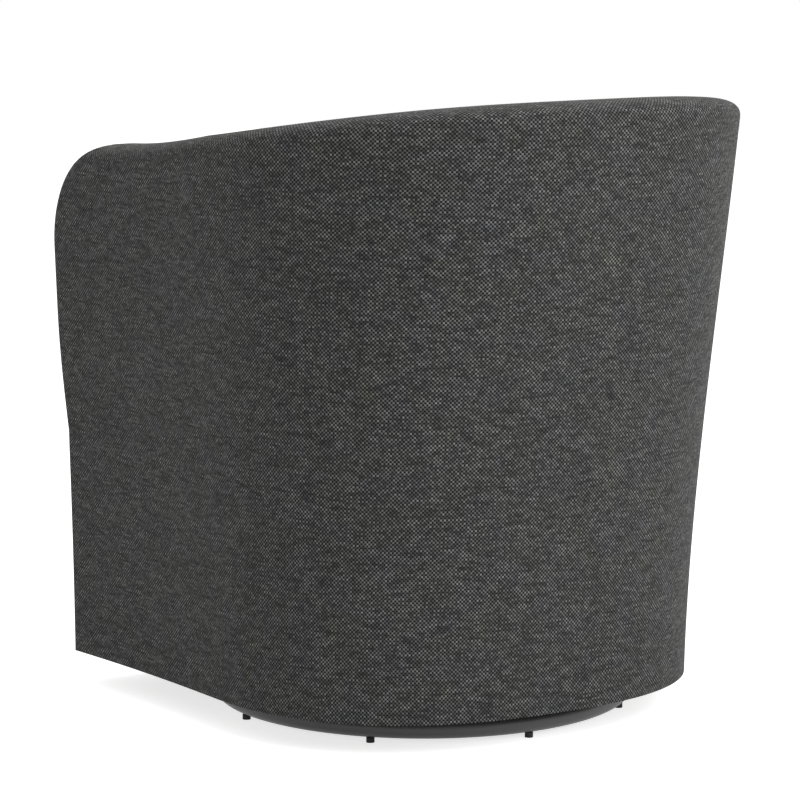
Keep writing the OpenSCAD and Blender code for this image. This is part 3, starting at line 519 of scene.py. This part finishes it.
def curve_depth(z):
    """Depth of the back curve behind the shoulder line, which leans out with the height."""
    return BODY_BACK - SHOULDER_Y + BACK_LEAN * cubic(LEAN_SHARES, height_share(z))


def closed_shell(name, outer, inner, cloth, thick=0.0):
    """Closed piece between two grids of as many points. Each row goes up the outer grid and back
    down the inner one, and the ends are closed by drawing the last rows together. The cloth runs
    on over the lower edge, which is as thick as given, and up the inner grid."""
    loop = np.concatenate([outer, inner[:, ::-1]], 1)
    under = cloth * (1, -1) + (2 * cloth[:, :1] - thick) * (0, 1)
    flat = np.concatenate([cloth, under[:, ::-1]], 1)
    middle = (outer + inner) / 2
    cap = np.concatenate([middle, middle[:, ::-1]], 1)
    loop = np.concatenate([cap[:1], loop, cap[-1:]])
    flat = np.concatenate([flat[:1], flat, flat[-1:]])
    return grid_mesh(name, loop, flat, around=True)


plan_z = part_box("seat_plate")[0].z
strap_low, strap_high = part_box("webbing_long")[0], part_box("webbing_cross")[1]
strap_z = (strap_low.z + strap_high.z) / 2
inner_x = half_width(plan_z) - PAD_IN
inner_d = curve_depth(plan_z) - PAD_IN


def reach(part):
    """How far a superellipse of unit size reaches one way, at that part of its other way."""
    return (1 - np.clip(part, 0, 1) ** PLAN_POWER) ** (1 / PLAN_POWER)


def straps(name, node, lengthwise):
    """Row of straps, each as long as the wall allows. The lacing lifts them by a smoothed square
    wave, so that each lies flat over and under its crossings."""
    pieces = []
    for i in range(-2, 3):
        side = i * STRAP_PITCH + (0 if lengthwise else STRAP_MID_Y)
        if lengthwise:
            ends = (strap_low.y,
                    SHOULDER_Y + inner_d * reach((abs(side) + STRAP_W / 2) / inner_x))
        else:
            ends = np.array([-1, 1]) * inner_x * reach((side + STRAP_W / 2 - SHOULDER_Y) / inner_d)
        s = np.linspace(ends[0], ends[1], STRAP_STEPS)
        wave = np.cos(math.pi * (s - (STRAP_MID_Y if lengthwise else 0)) / STRAP_PITCH)
        wave = np.tanh(LACING_STEEPNESS * wave * (-1.0) ** i) * (1 if lengthwise else -1)
        t = np.array([-1, -STRAP_EDGE, STRAP_EDGE, 1]) * STRAP_W / 2
        s, t, wave = np.broadcast_arrays(s[:, None], t[None], wave[:, None])
        flat = np.stack([side + t, s] if lengthwise else [s, side + t], -1)
        level = strap_z + (STRAP_T / 2 + GAP / 2) * wave
        thick = STRAP_T / 2 * np.array([STRAP_EDGE_T, 1, 1, STRAP_EDGE_T])
        top = np.concatenate([flat, (level + thick)[..., None]], -1)
        low = np.concatenate([flat, (level - thick)[..., None]], -1)
        pieces.append(closed_shell(f"{name}_{i + 2}", top, low, np.stack([t, s], -1)))
    piece = joined(name, pieces)
    piece.data.materials.append(strap_web)
    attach(piece, "seat")
    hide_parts(node)


straps("straps_lengthwise", "webbing_long", True)
straps("straps_crosswise", "webbing_cross", False)


# Crest roll
# A foam roll that stands on the crest rail and rounds the crest and the arm fronts. It and all
# that lies on it follow columns that run up the outside of the wall and over its crest, from the
# left arm front round the back to the right one.
ARM_H = 0.6885
BODY_FRONT = 0.308        # swivel axis to the front of the lower edge
ARM_TOE = 0.0165
NOTCH_Z = 0.315           # where the arms rise from the front border
NOTCH_IN = 0.006
ARM_BULGE = 0.014
BULGE_Z = 0.478
CORNER_D = 0.109          # the arm's round corner, to the front and up
CORNER_H = 0.129
WALL_T = 0.088
CREST_DEPTH = 0.0235      # depth of the rounding along the crest
NOSE_DEPTH = 0.0015       # and at the foot of the arm front
NOSE_GROWTH = 0.005
COVER_T = 0.005
TUCK = 0.004
RISE_SHARES = (0.32, 1.42, -0.74)
FOOT_SHARE = 0.375        # share of the corner's foot that stands under the arm front
NOSE_POWER = 4.0          # exponents of the rounding at the arm front and along the crest
CREST_POWER = 2.6
ARM_FRONT = BODY_FRONT - NOTCH_IN
CORNER_Y = CORNER_D - ARM_FRONT - ARM_BULGE
CREST_RUN = BODY_BACK - CORNER_Y
CORNER_RISE = (BACK_H - ARM_H) * RISE_SHARES[0] * CORNER_D / CREST_RUN
CORNER_Z = ARM_H - CORNER_H - CORNER_RISE
ROLL_IN = COVER_T + GAP
ROLL_FOOT = 0.028
RIB_IN = 0.0101
RIB_W = 0.0384
ROLL_GRID = (6, 10, 8, 24)            # columns of the arm front, its corner, the arm, half the back
ROLL_ROWS = 17
FOAM_DARK = (0.52, 0.45, 0.26, 1.0)
FOAM_LIGHT = (0.76, 0.70, 0.50, 1.0)

foam, feed, place = finish("foam", {"Specular IOR Level": 0.2})
cells = noise(place, 1100.0, 3.0)
feed("Base Color", mixed(spread(cells, 0.35, 0.65), FOAM_DARK, FOAM_LIGHT))
feed("Roughness", 0.85 + 0.1 * cells)
feed("Normal", bump(cells, 0.6, 0.0008))


def side_x(y, z):
    """Outside of the left arm, which toes out with the square of the way to the front."""
    forward = np.clip((SHOULDER_Y - y) / (SHOULDER_Y + BODY_FRONT), 0, None)
    return half_width(z) + ARM_TOE * forward ** 2


def crest_z(y):
    """Height of the crest: a cubic from the arm's round corner to the back."""
    return ARM_H + (BACK_H - ARM_H) * cubic(RISE_SHARES, (y - CORNER_Y) / CREST_RUN)


def nose_d(z):
    """Depth of the rounding at the arm front."""
    return NOSE_DEPTH + NOSE_GROWTH * np.clip((z - NOTCH_Z) / (CORNER_Z - NOTCH_Z), 0, 1)


def nose_y(z):
    """Foremost line of the arm front: a quarter sine wave swells it over the border."""
    rise = np.clip((z - NOTCH_Z) / (BULGE_Z - NOTCH_Z), 0, 1)
    return -ARM_FRONT - ARM_BULGE * np.sin(math.pi / 2 * rise)


def wall_columns(nose, corner, arm, curve, first_z=NOTCH_Z):
    """Columns as a dict of N by 1 arrays: angle in the back curve or -1, crest y and z, the
    crest's normal, depth and exponent of the rounding, foot y, side, and arc round the back."""
    parts = []
    z = np.linspace(first_z, CORNER_Z, nose + 1)
    one = np.ones_like(z)
    foot_share = FOOT_SHARE * (z - NOTCH_Z) / (CORNER_Z - NOTCH_Z)
    parts.append([-one, nose_y(z), z, -one, 0 * one, nose_d(z), NOSE_POWER * one, foot_share])
    s = np.linspace(0, 1, corner + 1)[1:]
    t = s * math.pi / 2
    normal = np.stack([-np.cos(t) / CORNER_D, np.sin(t) / CORNER_H])
    normal /= np.linalg.norm(normal, axis=0)
    d = nose_d(CORNER_Z)
    z = CORNER_Z + CORNER_H * np.sin(t) + CORNER_RISE * (1 - np.cos(t))
    parts.append([-1 + 0 * s, CORNER_Y - CORNER_D * np.cos(t), z, normal[0], normal[1],
                  d + (CREST_DEPTH - d) * s ** 2,
                  NOSE_POWER + (CREST_POWER - NOSE_POWER) * s ** 2,
                  FOOT_SHARE + (1 - FOOT_SHARE) * s])
    for part in parts:
        part[-1] = -BODY_FRONT + (CORNER_Y + BODY_FRONT) * part[-1]
    turn = np.linspace(0, math.pi / 2, curve + 1)
    back_y = SHOULDER_Y + (BODY_BACK - SHOULDER_Y) * np.sin(turn) ** (2 / PLAN_POWER)
    arm_y = np.linspace(CORNER_Y, SHOULDER_Y, arm + 1)[1:-1]
    for angle, y in ((0 * arm_y - 1, arm_y), (turn, back_y)):
        one = np.ones_like(y)
        parts.append([angle, y, crest_z(y), 0 * one, one, CREST_DEPTH * one, CREST_POWER * one, y])
    half = np.concatenate([np.array(part) for part in parts], 1)
    names = ("angle", "y", "z", "ny", "nz", "depth", "power", "foot")
    columns = dict(zip(names, np.concatenate([half, half[:, -2::-1]], 1)[..., None]))
    n = half.shape[1]
    columns["side"] = np.concatenate([np.ones(n), -np.ones(n - 1)])[:, None]
    middle = wall_point(columns, 0, columns["y"], (SKIRT_Z + BACK_H) / 2)
    step = np.linalg.norm(np.diff(middle[:, 0], axis=0), axis=1)
    arc = np.append(0, np.cumsum(step))
    columns["arc"] = (arc - arc[n - 1])[:, None]
    return columns


def wall_point(columns, inset, y, z):
    """Points of the wall at an inset from its outside. The sides follow the flare and the toe,
    and the back a superellipse in plan, moved in along its normal."""
    y, z = np.broadcast_arrays(y, z)
    turn = np.clip(columns["angle"], 0, None)
    x_flat = side_x(y, z) - inset
    power = 2 / PLAN_POWER
    nx = np.cos(turn) ** (2 - power) / half_width(z)
    ny = np.sin(turn) ** (2 - power) / curve_depth(z)
    length = np.hypot(nx, ny)
    x_back = half_width(z) * np.cos(turn) ** power - inset * nx / length
    y_back = SHOULDER_Y + curve_depth(z) * np.sin(turn) ** power - inset * ny / length
    flat = columns["angle"] < 0
    return np.stack(np.broadcast_arrays(columns["side"] * np.where(flat, x_flat, x_back),
                                        np.where(flat, y, y_back), z), -1)


def sunk_point(columns, inset, sink):
    """Points at an inset, sunk below the crest along its normal."""
    return wall_point(columns, inset, columns["y"] - columns["ny"] * sink,
                      columns["z"] - columns["nz"] * sink)


def roll_point(columns, s, less):
    """Points of the rounded crest at an offset under the outside: s goes from -1 outside to 1
    inside, and the drop below the crest is a superellipse of s."""
    depth = np.maximum(columns["depth"], less + NOSE_DEPTH) if less else columns["depth"]
    p = columns["power"]
    drop = 1 - np.clip(1 - np.abs(s) ** p, 0, 1) ** (1 / p)
    return sunk_point(columns, WALL_T / 2 + (WALL_T / 2 - less) * s, less + (depth - less) * drop)


def foam_depth(columns):
    """Depth from the crest at which the foam's flat sides start."""
    return np.maximum(columns["depth"], ROLL_IN + NOSE_DEPTH)


def cloth_place(columns, points):
    """Place on the flat fabric: round the wall from the middle of the back, and up."""
    flat = columns["angle"] < 0
    shoulder = columns["arc"][~flat].max()
    round_y = columns["side"] * (points[..., 1] - SHOULDER_Y - shoulder)
    return np.stack([np.where(flat, round_y, columns["arc"] + 0 * round_y), points[..., 2]], -1)


columns = wall_columns(*ROLL_GRID)
s = -np.cos(np.linspace(0, math.pi, ROLL_ROWS))[None]
foot_at = np.array([0, 1, 2, 5, 6, 8]) / 8
foot_inset = [ROLL_IN, RIB_IN, RIB_IN, RIB_IN + RIB_W - GAP, RIB_IN + RIB_W - GAP,
              WALL_T - ROLL_IN]
foot_sink = [TUCK, TUCK, ROLL_FOOT, ROLL_FOOT, TUCK, TUCK]
foot_s = np.linspace(0, 1, ROLL_ROWS)
roll = roll_point(columns, s, ROLL_IN)
stand = sunk_point(columns, np.interp(foot_s, foot_at, foot_inset)[None],
                   foam_depth(columns) + np.interp(foot_s, foot_at, foot_sink)[None])
piece = closed_shell("crest_roll", roll, stand, cloth_place(columns, roll))
piece.data.materials.append(foam)
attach(piece, "seat")
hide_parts("edge_roll")


# Outside cover
# One padded skin over the outside, the rounded crest and both arm fronts, turned under at its
# lower edge and sewn to the inside pad just inside the crest. The fabric is a plain weave of
# light level yarns over dark upright ones, both thick and thin and flecked like heather, with
# painted shade in the dips between the crossings.
YARN = 0.0024             # pitch of the yarns
SLUB = 0.022              # length along which a yarn keeps its shade
SLUB_SEED = 31.0
ROW_STEP = 5.37           # how far apart two yarns lie in the noise that shades them
FLECK = 0.9               # how much the crossings differ in shade
WEAVE_DEPTH = 0.0005
HEM_BEVEL = 0.0018
EDGE_ANGLE = math.radians(50)         # least angle of an edge that is rounded
COVER_GRID = (14, 20, 16, 48)
FLAT_ROWS = 36            # up the flat outside
CREST_ROWS = 27           # over the crest
WEFT_SHADE = 0.53
WARP_SHADE = 0.025
YARN_DARK = (0.003, 0.003, 0.003, 1.0)
YARN_LIGHT = (0.225, 0.225, 0.2225, 1.0)
OLIVE = (1.0, 0.995, 0.93, 1.0)
SLATE = (0.975, 0.98, 1.02, 1.0)

fabric, feed, place = finish("charcoal_fabric", {
    "Specular IOR Level": 0.15, "Sheen Weight": 0.04, "Sheen Roughness": 0.45})
grid = place.node("ShaderNodeUVMap", {"uv_map": "cloth"}, {})
split = grid.node("ShaderNodeSeparateXYZ", {}, {0: grid})
level, upright = split, split.other(1)
a, b = level * (1 / YARN), upright * (1 / YARN)
column, row = a.math("FLOOR", a), b.math("FLOOR", b)
in_column, in_row = a.math("FRACT", a), b.math("FRACT", b)
weft_over = (column + row) % 2


def slubs(along, number, seed):
    """Shade of a yarn in lengths of a slub, a new draw for each yarn."""
    where = along.node("ShaderNodeCombineXYZ", {},
                       {0: along * (1 / SLUB), 1: number * ROW_STEP, 2: seed})
    return spread(noise(where, 1.0, 1.0), 0.28, 0.72)


def crown(across, along):
    """Height of a yarn where it passes over: a parabola across it and half a sine along it."""
    bent = across * 2 - 1
    return (1 - bent * bent) * along.math("SINE", along * math.pi)


weft = (0.5 + slubs(level, row, 0.0)) * WEFT_SHADE
warp = (0.35 + 1.3 * slubs(upright, column, SLUB_SEED)) * WARP_SHADE
cell = column.node("ShaderNodeCombineXYZ", {}, {0: column, 1: row})
fleck = cell.node("ShaderNodeTexWhiteNoise", {}, {"Vector": cell}) * FLECK + (1 - FLECK / 2)
shade = (warp + weft_over * (weft - warp)) * fleck
height = crown(in_column, in_row)
height = height + weft_over * (crown(in_row, in_column) - height)
# Painted shade: the colour darkens where a yarn dips between crossings and is lightest on its crown
yarn = mixed(shade * (0.74 + 0.15 * height), YARN_DARK, YARN_LIGHT)
tint = mixed(spread(noise(place, 26.0, 1.0), 0.35, 0.65), SLATE, OLIVE)
feed("Base Color", yarn.node("ShaderNodeMix", {"data_type": "RGBA", "blend_type": "MULTIPLY"},
                             {0: 1.0, 6: yarn, 7: tint}, 2))
feed("Roughness", 0.8 + 0.15 * height)
feed("Normal", bump(height, 0.6, WEAVE_DEPTH))


def upholster(piece, node, material=fabric):
    """Finishes a padded piece that stands for a CAD node of the seat."""
    piece.data.materials.append(material)
    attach(piece, "seat")
    if node:
        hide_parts(node)


def soft_edges(piece, width):
    """Rounds the sewn or folded edges of a piece."""
    bevel = piece.modifiers.new("soft_edges", "BEVEL")
    bevel.width = width
    bevel.segments = 3
    bevel.limit_method = "ANGLE"
    bevel.angle_limit = EDGE_ANGLE


def edge_y(z):
    """Front edge of the flat of the wall."""
    below = -BODY_FRONT + NOTCH_IN * (z - SKIRT_Z) / (NOTCH_Z - SKIRT_Z)
    above = nose_y(np.minimum(z, CORNER_Z)) + nose_d(z)
    return np.where(z < NOTCH_Z, below, above)


def flat_point(columns, inset, share, low, sink):
    """Points of the flat wall, a share of the way up from low to what lies sunk under the crest."""
    top_y = columns["y"] - columns["ny"] * sink
    top_z = columns["z"] - columns["nz"] * sink
    z = low + (top_z - low) * share
    y = (edge_y(z) + (top_y - edge_y(top_z)) * share
         + (columns["foot"] - edge_y(np.array(SKIRT_Z))) * (1 - share))
    return wall_point(columns, inset, y, z)


columns = wall_columns(*COVER_GRID)
share = np.linspace(0, 1, FLAT_ROWS + 1)[None, :-1]
s = -np.cos(np.linspace(0, math.pi, CREST_ROWS))[None]
outer, inner = (np.concatenate([
    flat_point(columns, inset, share, SKIRT_Z, columns["depth"]),
    roll_point(columns, s, inset),
    sunk_point(columns, WALL_T - inset, foam_depth(columns) + TUCK)], 1) for inset in (0, COVER_T))
flats = share.shape[1]
cloth = cloth_place(columns, outer)
over = np.cumsum(np.linalg.norm(np.diff(outer[:, flats:], axis=1), axis=2), axis=1)
cloth[:, flats + 1:, 0] = cloth[:, flats:flats + 1, 0] + columns["side"] * columns["ny"] * over
cloth[:, flats + 1:, 1] = cloth[:, flats:flats + 1, 1] + columns["nz"] * over
piece = closed_shell("outside_cover", outer, inner, cloth, COVER_T)
soft_edges(piece, HEM_BEVEL)
upholster(piece, "outer_cover")


# Inside pad
# The upholstered foam of the inside arms and the inside back, thicker at the small of the back,
# from the seam inside the crest down to the deck.
LUMBAR = 0.022
PAD_START = 0.014
PAD_BEVEL = 0.003
PAD_ROWS = 33
columns = wall_columns(*COVER_GRID, first_z=NOTCH_Z + PAD_START)
columns["foot"] = np.maximum(columns["foot"], -BODY_FRONT + ROLL_IN + NOSE_DEPTH + TUCK + GAP)


def swell(columns, share):
    """Extra thickness of the pad, most at the middle of the back and fading to the crest."""
    turn = np.clip(columns["angle"], 0, None)
    return LUMBAR * np.sin(turn) * np.cos(math.pi / 2 * share) ** 2


share = np.linspace(0, 1, PAD_ROWS)[None]
sink = foam_depth(columns) + TUCK + GAP
front = flat_point(columns, WALL_T + swell(columns, share), share, NOTCH_Z, sink)
rear = flat_point(columns, PAD_IN, share, NOTCH_Z, sink)
piece = closed_shell("inside_pad", front, rear, cloth_place(columns, front))
soft_edges(piece, PAD_BEVEL)
upholster(piece, "inner_pad")


# Front border
# The panel under the seat, between the lower ends of the two sides: the same fabric over a pad
# that is glued to the plywood front, with a slight crown.
BORDER_T = 0.019
BORDER_CROWN = 0.004
BORDER_GRID = (61, 31)
u = np.linspace(-1, 1, BORDER_GRID[0])[:, None]
v = np.linspace(0, 1, BORDER_GRID[1])[None]
z = SKIRT_Z + (NOTCH_Z - GAP - SKIRT_Z) * v
border_rear = -BODY_FRONT + BORDER_T
x = u * (side_x(border_rear, z) - COVER_T - GAP)
crowned = BORDER_CROWN * (1 - np.abs(u) ** 4) * np.sin(math.pi * v)
face = np.stack(np.broadcast_arrays(x, edge_y(z) - crowned, z), -1)
rear = np.stack(np.broadcast_arrays(x, border_rear + 0 * crowned, z), -1)
piece = closed_shell("border_panel", face, rear, face[..., [0, 2]], BORDER_T)
soft_edges(piece, PAD_BEVEL)
upholster(piece, "front_border")


# Seat deck
# Black decking cloth over a felt pad, stretched across the webbing between the inside pads and
# the front border. The cushion lies on it.
DECK_DARK = (0.012, 0.012, 0.012, 1.0)
DECK_LIGHT = (0.045, 0.045, 0.046, 1.0)
DECK_EDGE = 0.003
PLAN_GRID = (1, 1, 2, 32) # columns of the wall that a plan outline takes

deck_felt, feed, place = finish("deck_felt", {"Specular IOR Level": 0.1, "Sheen Weight": 0.2})
fuzz = noise(place, 1500.0, 3.0)
feed("Base Color", mixed(fuzz, DECK_DARK, DECK_LIGHT))
feed("Roughness", 0.85 + 0.1 * fuzz)
feed("Normal", bump(fuzz, 0.4, 0.0004))


def plan_outline(z, inset, front):
    """Closed outline of the body in plan at a height and an inset, with a straight front, from
    the left front corner round the back to the right one and along the front."""
    y = np.linspace(front, SHOULDER_Y, 13)[:-1]
    arm = np.stack([side_x(y, z) - inset, y, z + 0 * y], -1)
    back = wall_columns(*PLAN_GRID)
    curve = wall_point(back, inset, 0, np.array([[z]]))[back["angle"][:, 0] >= 0, 0]
    edge = np.linspace(arm[0] * (-1, 1, 1), arm[0], 33)[1:-1]
    return np.concatenate([arm, curve, arm[::-1] * (-1, 1, 1), edge])


low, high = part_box("deck_pad")
outline = plan_outline(plan_z, PAD_IN, low.y)
rings = []
for share, height in ((0, low.z), (1, low.z), (1, high.z - DECK_EDGE),
                      (0.985, high.z - 0.3 * DECK_EDGE), (0.95, high.z), (0, high.z)):
    ring = outline * (share, share, 0) + (0, STRAP_MID_Y * (1 - share), height)
    rings.append(ring)
rings = np.array(rings)
upholster(grid_mesh("deck_cloth", rings, rings[..., :2], around=True), "deck_pad",
          deck_felt)


# Seat cushion
# A loose boxed cushion between the arms: a foam core in a sewn case of the same fabric, piped
# round the upper and the lower seam, with a bowed front and a crowned top. A cloth simulation
# blows the case up on its seams.
CUSHION_H = 0.126
CUSHION_CROWN = 0.024
CUSHION_SWELL = 0.006
CUSHION_R = 0.034
CUSHION_BOW = 0.006
CUSHION_CLEAR = 0.0008
CUSHION_MID_Y = -0.020
PIPING_R = 0.0032
PIPING_SIDES = 10
VOXEL = 0.006
SLACK = 0.005             # how much smaller the case starts than the CAD form
MOST_SWELL = 0.022        # furthest that the simulation may carry the cloth
SEAM_BAND = 0.005         # cloth this near a seam is held
CASE_PRESSURE = 4.0
SWELL_FRAMES = 20
LYING_FLAT = 0.6          # least upward part of a face's normal on the two flat sides
BATCHES = 16              # keeps the tables of distances small


def cushion_outline(z):
    """Closed outline of the cushion in plan at one height, from the middle of its front."""
    def side(y):
        return side_x(y, z) - WALL_T - CUSHION_CLEAR
    flat_x = side(-ARM_FRONT) - CUSHION_R
    u = np.linspace(0, 1, 16, endpoint=False)
    t = np.linspace(0, math.pi / 2, 13)
    corner_y = -ARM_FRONT + CUSHION_R * (1 - np.cos(t))
    arm_y = np.linspace(-ARM_FRONT + CUSHION_R, SHOULDER_Y, 16)[1:-1]
    back = wall_columns(*PLAN_GRID)
    keep = (back["angle"][:, 0] >= 0) & (back["side"][:, 0] > 0)
    back = {name: values[keep] for name, values in back.items()}
    top = back["z"] - foam_depth(back) - TUCK - GAP
    inset = WALL_T + swell(back, (z - NOTCH_Z) / (top - NOTCH_Z)) + CUSHION_CLEAR
    half = np.concatenate([
        np.stack([flat_x * u, -ARM_FRONT - CUSHION_BOW * (1 - u * u)], -1),
        np.stack([side(corner_y) - CUSHION_R * (1 - np.sin(t)), corner_y], -1),
        np.stack([side(arm_y), arm_y], -1),
        wall_point(back, inset, 0, np.array([[z]]))[:, 0, :2]])
    return np.concatenate([half, half[-2:0:-1] * (-1, 1)])


def cushion_ring(plan, rise, crown, swelling):
    """Ring of the cushion at a share of its plan, its edge's height, its crown and its swell."""
    outline = cushion_outline(NOTCH_Z + CUSHION_H * rise)
    middle = np.array([0, CUSHION_MID_Y])
    ring = middle + (outline - middle) * plan
    bulge = np.clip((-ARM_FRONT + CUSHION_R - outline[:, 1]) / CUSHION_R, 0, 1) ** 2
    ring[:, 1] -= CUSHION_SWELL * swelling * bulge
    height = NOTCH_Z + CUSHION_H * rise + CUSHION_CROWN * crown
    return np.concatenate([ring, np.full((len(ring), 1), height)], 1)


def applied(piece, modifier):
    """Makes a modifier's result the piece's own mesh."""
    graph = bpy.context.evaluated_depsgraph_get()
    piece.data = bpy.data.meshes.new_from_object(piece.evaluated_get(graph))
    piece.modifiers.remove(modifier)


def coordinates(mesh):
    """Places of a mesh's points, as an array."""
    flat = np.empty(3 * len(mesh.vertices))
    mesh.vertices.foreach_get("co", flat)
    return flat.reshape(-1, 3)


# Shares of the plan, the edge's height, the crown and the swell, from the underside to the crown
ROW_SHARES = np.array([
    [0, 0, 0, 0], [0.96, 0, 0, 0], [0.995, 0.05, 0, 0], [1, 0.25, 0, 0.6], [1, 0.5, 0, 1],
    [1, 0.75, 0, 0.6], [0.995, 0.95, 0, 0], [0.965, 1, 0.06, 0], [0.88, 1, 0.36, 0],
    [0.74, 1, 0.64, 0], [0.55, 1, 0.86, 0], [0.3, 1, 0.97, 0], [0, 1, 1, 0]])
LOW_SEAM, HIGH_SEAM = 2, 6
steps = np.linspace(0, len(ROW_SHARES) - 1, 4 * len(ROW_SHARES) - 3)
rows = np.stack([np.interp(steps, range(len(ROW_SHARES)), part) for part in ROW_SHARES.T], -1)
rings = np.stack([cushion_ring(*row) for row in rows])
seams = [cushion_ring(*ROW_SHARES[i]) for i in (LOW_SEAM, HIGH_SEAM)]
case = grid_mesh("seat_cushion_case", rings, around=True)
remesh = case.modifiers.new("even_cloth", "REMESH")
remesh.mode = "VOXEL"
remesh.voxel_size = VOXEL
applied(case, remesh)

start = coordinates(case.data)
normals = np.empty(3 * len(start))
case.data.vertices.foreach_get("normal", normals)
seam_points = np.concatenate(seams)
away = np.concatenate([np.linalg.norm(part[:, None] - seam_points[None], axis=2).min(1)
                       for part in np.array_split(start, BATCHES)])
forward = np.clip((-ARM_FRONT + CUSHION_R - start[:, 1]) / CUSHION_R, 0, 1)
forward[start[:, 2] > NOTCH_Z + CUSHION_H] = 1
forward[start[:, 2] < NOTCH_Z + VOXEL] = 0
loose = np.clip(away / (4 * SEAM_BAND), 0, 1) * forward
start -= normals.reshape(-1, 3) * SLACK * loose[:, None]
case.data.vertices.foreach_set("co", start.ravel())
held = np.flatnonzero((forward == 0) | (away < SEAM_BAND))
case.vertex_groups.new(name="held").add(held.tolist(), 1.0, "REPLACE")
cloth = case.modifiers.new("swelling", "CLOTH")
cloth.settings.vertex_group_mass = "held"
cloth.settings.use_pressure = True
cloth.settings.uniform_pressure_force = CASE_PRESSURE
cloth.settings.effector_weights.gravity = 0.0
for number in range(1, SWELL_FRAMES + 1):
    bpy.context.scene.frame_set(number)
graph = bpy.context.evaluated_depsgraph_get()
moved = coordinates(case.evaluated_get(graph).data) - start
length = np.linalg.norm(moved, axis=1, keepdims=True)
moved *= np.minimum(1, MOST_SWELL / np.maximum(length, 1e-9))
case.modifiers.remove(cloth)
case.data.vertices.foreach_set("co", (start + moved).ravel())
bpy.context.scene.frame_set(1)

# The case's flat fabric: along x and y on its two faces, and round it and up on its boxing
ring = np.roll(seams[1][:, :2], len(seams[1]) // 2, 0)
step = np.roll(ring, -1, 0) - ring
step_length = np.linalg.norm(step, axis=1)
arc = np.append(0, np.cumsum(step_length)[:-1])
along = step / step_length[:, None]
places = coordinates(case.data)
corners = np.empty(len(case.data.loops), int)
case.data.loops.foreach_get("vertex_index", corners)
sides = np.empty(len(case.data.polygons), int)
case.data.polygons.foreach_get("loop_total", sides)
facing = np.empty(3 * len(sides))
case.data.polygons.foreach_get("normal", facing)
starts = np.append(0, np.cumsum(sides)[:-1])
middles = np.add.reduceat(places[corners, :2], starts) / sides[:, None]
near = np.concatenate([np.linalg.norm(part[:, None] - ring[None], axis=2).argmin(1)
                       for part in np.array_split(middles, BATCHES)])
near = np.repeat(near, sides)
flat = np.repeat(np.abs(facing.reshape(-1, 3)[:, 2]) > LYING_FLAT, sides)[:, None]
offset = ((places[corners, :2] - ring[near]) * along[near]).sum(-1)
boxing = np.stack([arc[near] + offset, places[corners, 2]], -1)
layer = case.data.uv_layers.new(name="cloth")
layer.data.foreach_set("uv", np.where(flat, places[corners, :2], boxing).ravel())

smoother = case.modifiers.new("smoother", "SUBSURF")
smoother.levels = smoother.render_levels = 1
case.data.shade_smooth()
upholster(case, "seat_cushion")

for name, seam in zip(("cushion_piping_low", "cushion_piping_high"), seams):
    piping = tube(name, seam, np.tile([0.0, 0.0, 1.0], (len(seam), 1)), PIPING_R, PIPING_SIDES,
                  closed=True)
    upholster(piping, None)


# Dust cloth
# Black nonwoven cloth under the bottom plate: a band that goes round the opening for the
# mechanism, with both its edges folded in and stapled to the plate.
CLOTH_DARK = (0.006, 0.006, 0.006, 1.0)
CLOTH_LIGHT = (0.022, 0.022, 0.023, 1.0)
CLOTH_T = 0.0005
CLOTH_BAND = 0.095
FOLD_W = 0.010
SAG = 0.3                 # deepest sag between the edges, in cloth thicknesses
STAPLE_PITCH = 0.045
STAPLE_W = 0.010
STAPLE_WIRE = 0.0004
STAPLE_SIDES = 6

dust_cloth, feed, place = finish("dust_cloth", {"Specular IOR Level": 0.15})
fibres = noise(place, 900.0, 5.0)
feed("Base Color", mixed(fibres, CLOTH_DARK, CLOTH_LIGHT))
feed("Roughness", 0.8 + 0.15 * fibres)
feed("Normal", bump(fibres, 0.5, 0.0003))

low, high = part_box("dust_cover")
far = plan_outline(high.z, RIB_IN + COVER_T, low.y)
near = plan_outline(high.z, RIB_IN + COVER_T + CLOTH_BAND, low.y + CLOTH_BAND)
# Across the band the cloth runs from the end of one folded edge out, round under it and over to
# the other edge: shares of the band's width, and levels under the plate in cloth thicknesses
fold, turned = FOLD_W / CLOTH_BAND, CLOTH_T / CLOTH_BAND
shares = np.array([[fold, 0, 0, 0.5, 1, 1, 1 - fold],
                   [fold, turned, turned, 0.5, 1 - turned, 1 - turned, 1 - fold]])
levels = np.array([[0, 0, 2.1, 2.1, 2.1, 0, 0], [1, 1, 1.1, 1.1, 1.1, 1, 1]])
sag = SAG * np.abs(np.sin(0.9 * np.arange(len(far))))
faces = []
for share, level in zip(shares, levels):
    side = far[:, None] + (near - far)[:, None] * share[None, :, None]
    side[..., 2] -= CLOTH_T * (level + sag[:, None] * (share == 0.5))
    faces.append(side)
loop = np.concatenate([faces[0], faces[1][:, ::-1]], 1)
piece = grid_mesh("dust_cloth", np.concatenate([loop, loop[:1]]), around=True)
piece.data.materials.append(dust_cloth)
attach(piece, "seat")
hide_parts("dust_cover")


staples = []
for line in (far + (near - far) * fold / 2, near + (far - near) * fold / 2):
    line = np.concatenate([line, line[:1]])
    length = np.append(0, np.cumsum(np.linalg.norm(np.diff(line, axis=0), axis=1)))
    for at in np.arange(STAPLE_PITCH / 2, length[-1], STAPLE_PITCH):
        ends = [np.array([np.interp(at + shift, length, line[:, i]) for i in range(3)])
                for shift in (-STAPLE_W / 2, STAPLE_W / 2)]
        path = np.array([ends[0], ends[0], ends[1], ends[1]])
        path[:, 2] -= 2 * CLOTH_T + STAPLE_WIRE * np.array([-1, 1, 1, -1])
        staples.append(tube("staple", path, np.tile([0.01, 0.02, 1.0], (4, 1)), STAPLE_WIRE,
                            STAPLE_SIDES))
piece = joined("dust_cloth_staples", staples)
piece.data.materials.append(zinc)
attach(piece, "seat")


# Finish
# The sizes of the CAD model and of the dressed one, side by side.
size = {"cad": [list(corner) for corner in cad_box],
        "visual": [list(corner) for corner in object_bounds()]}
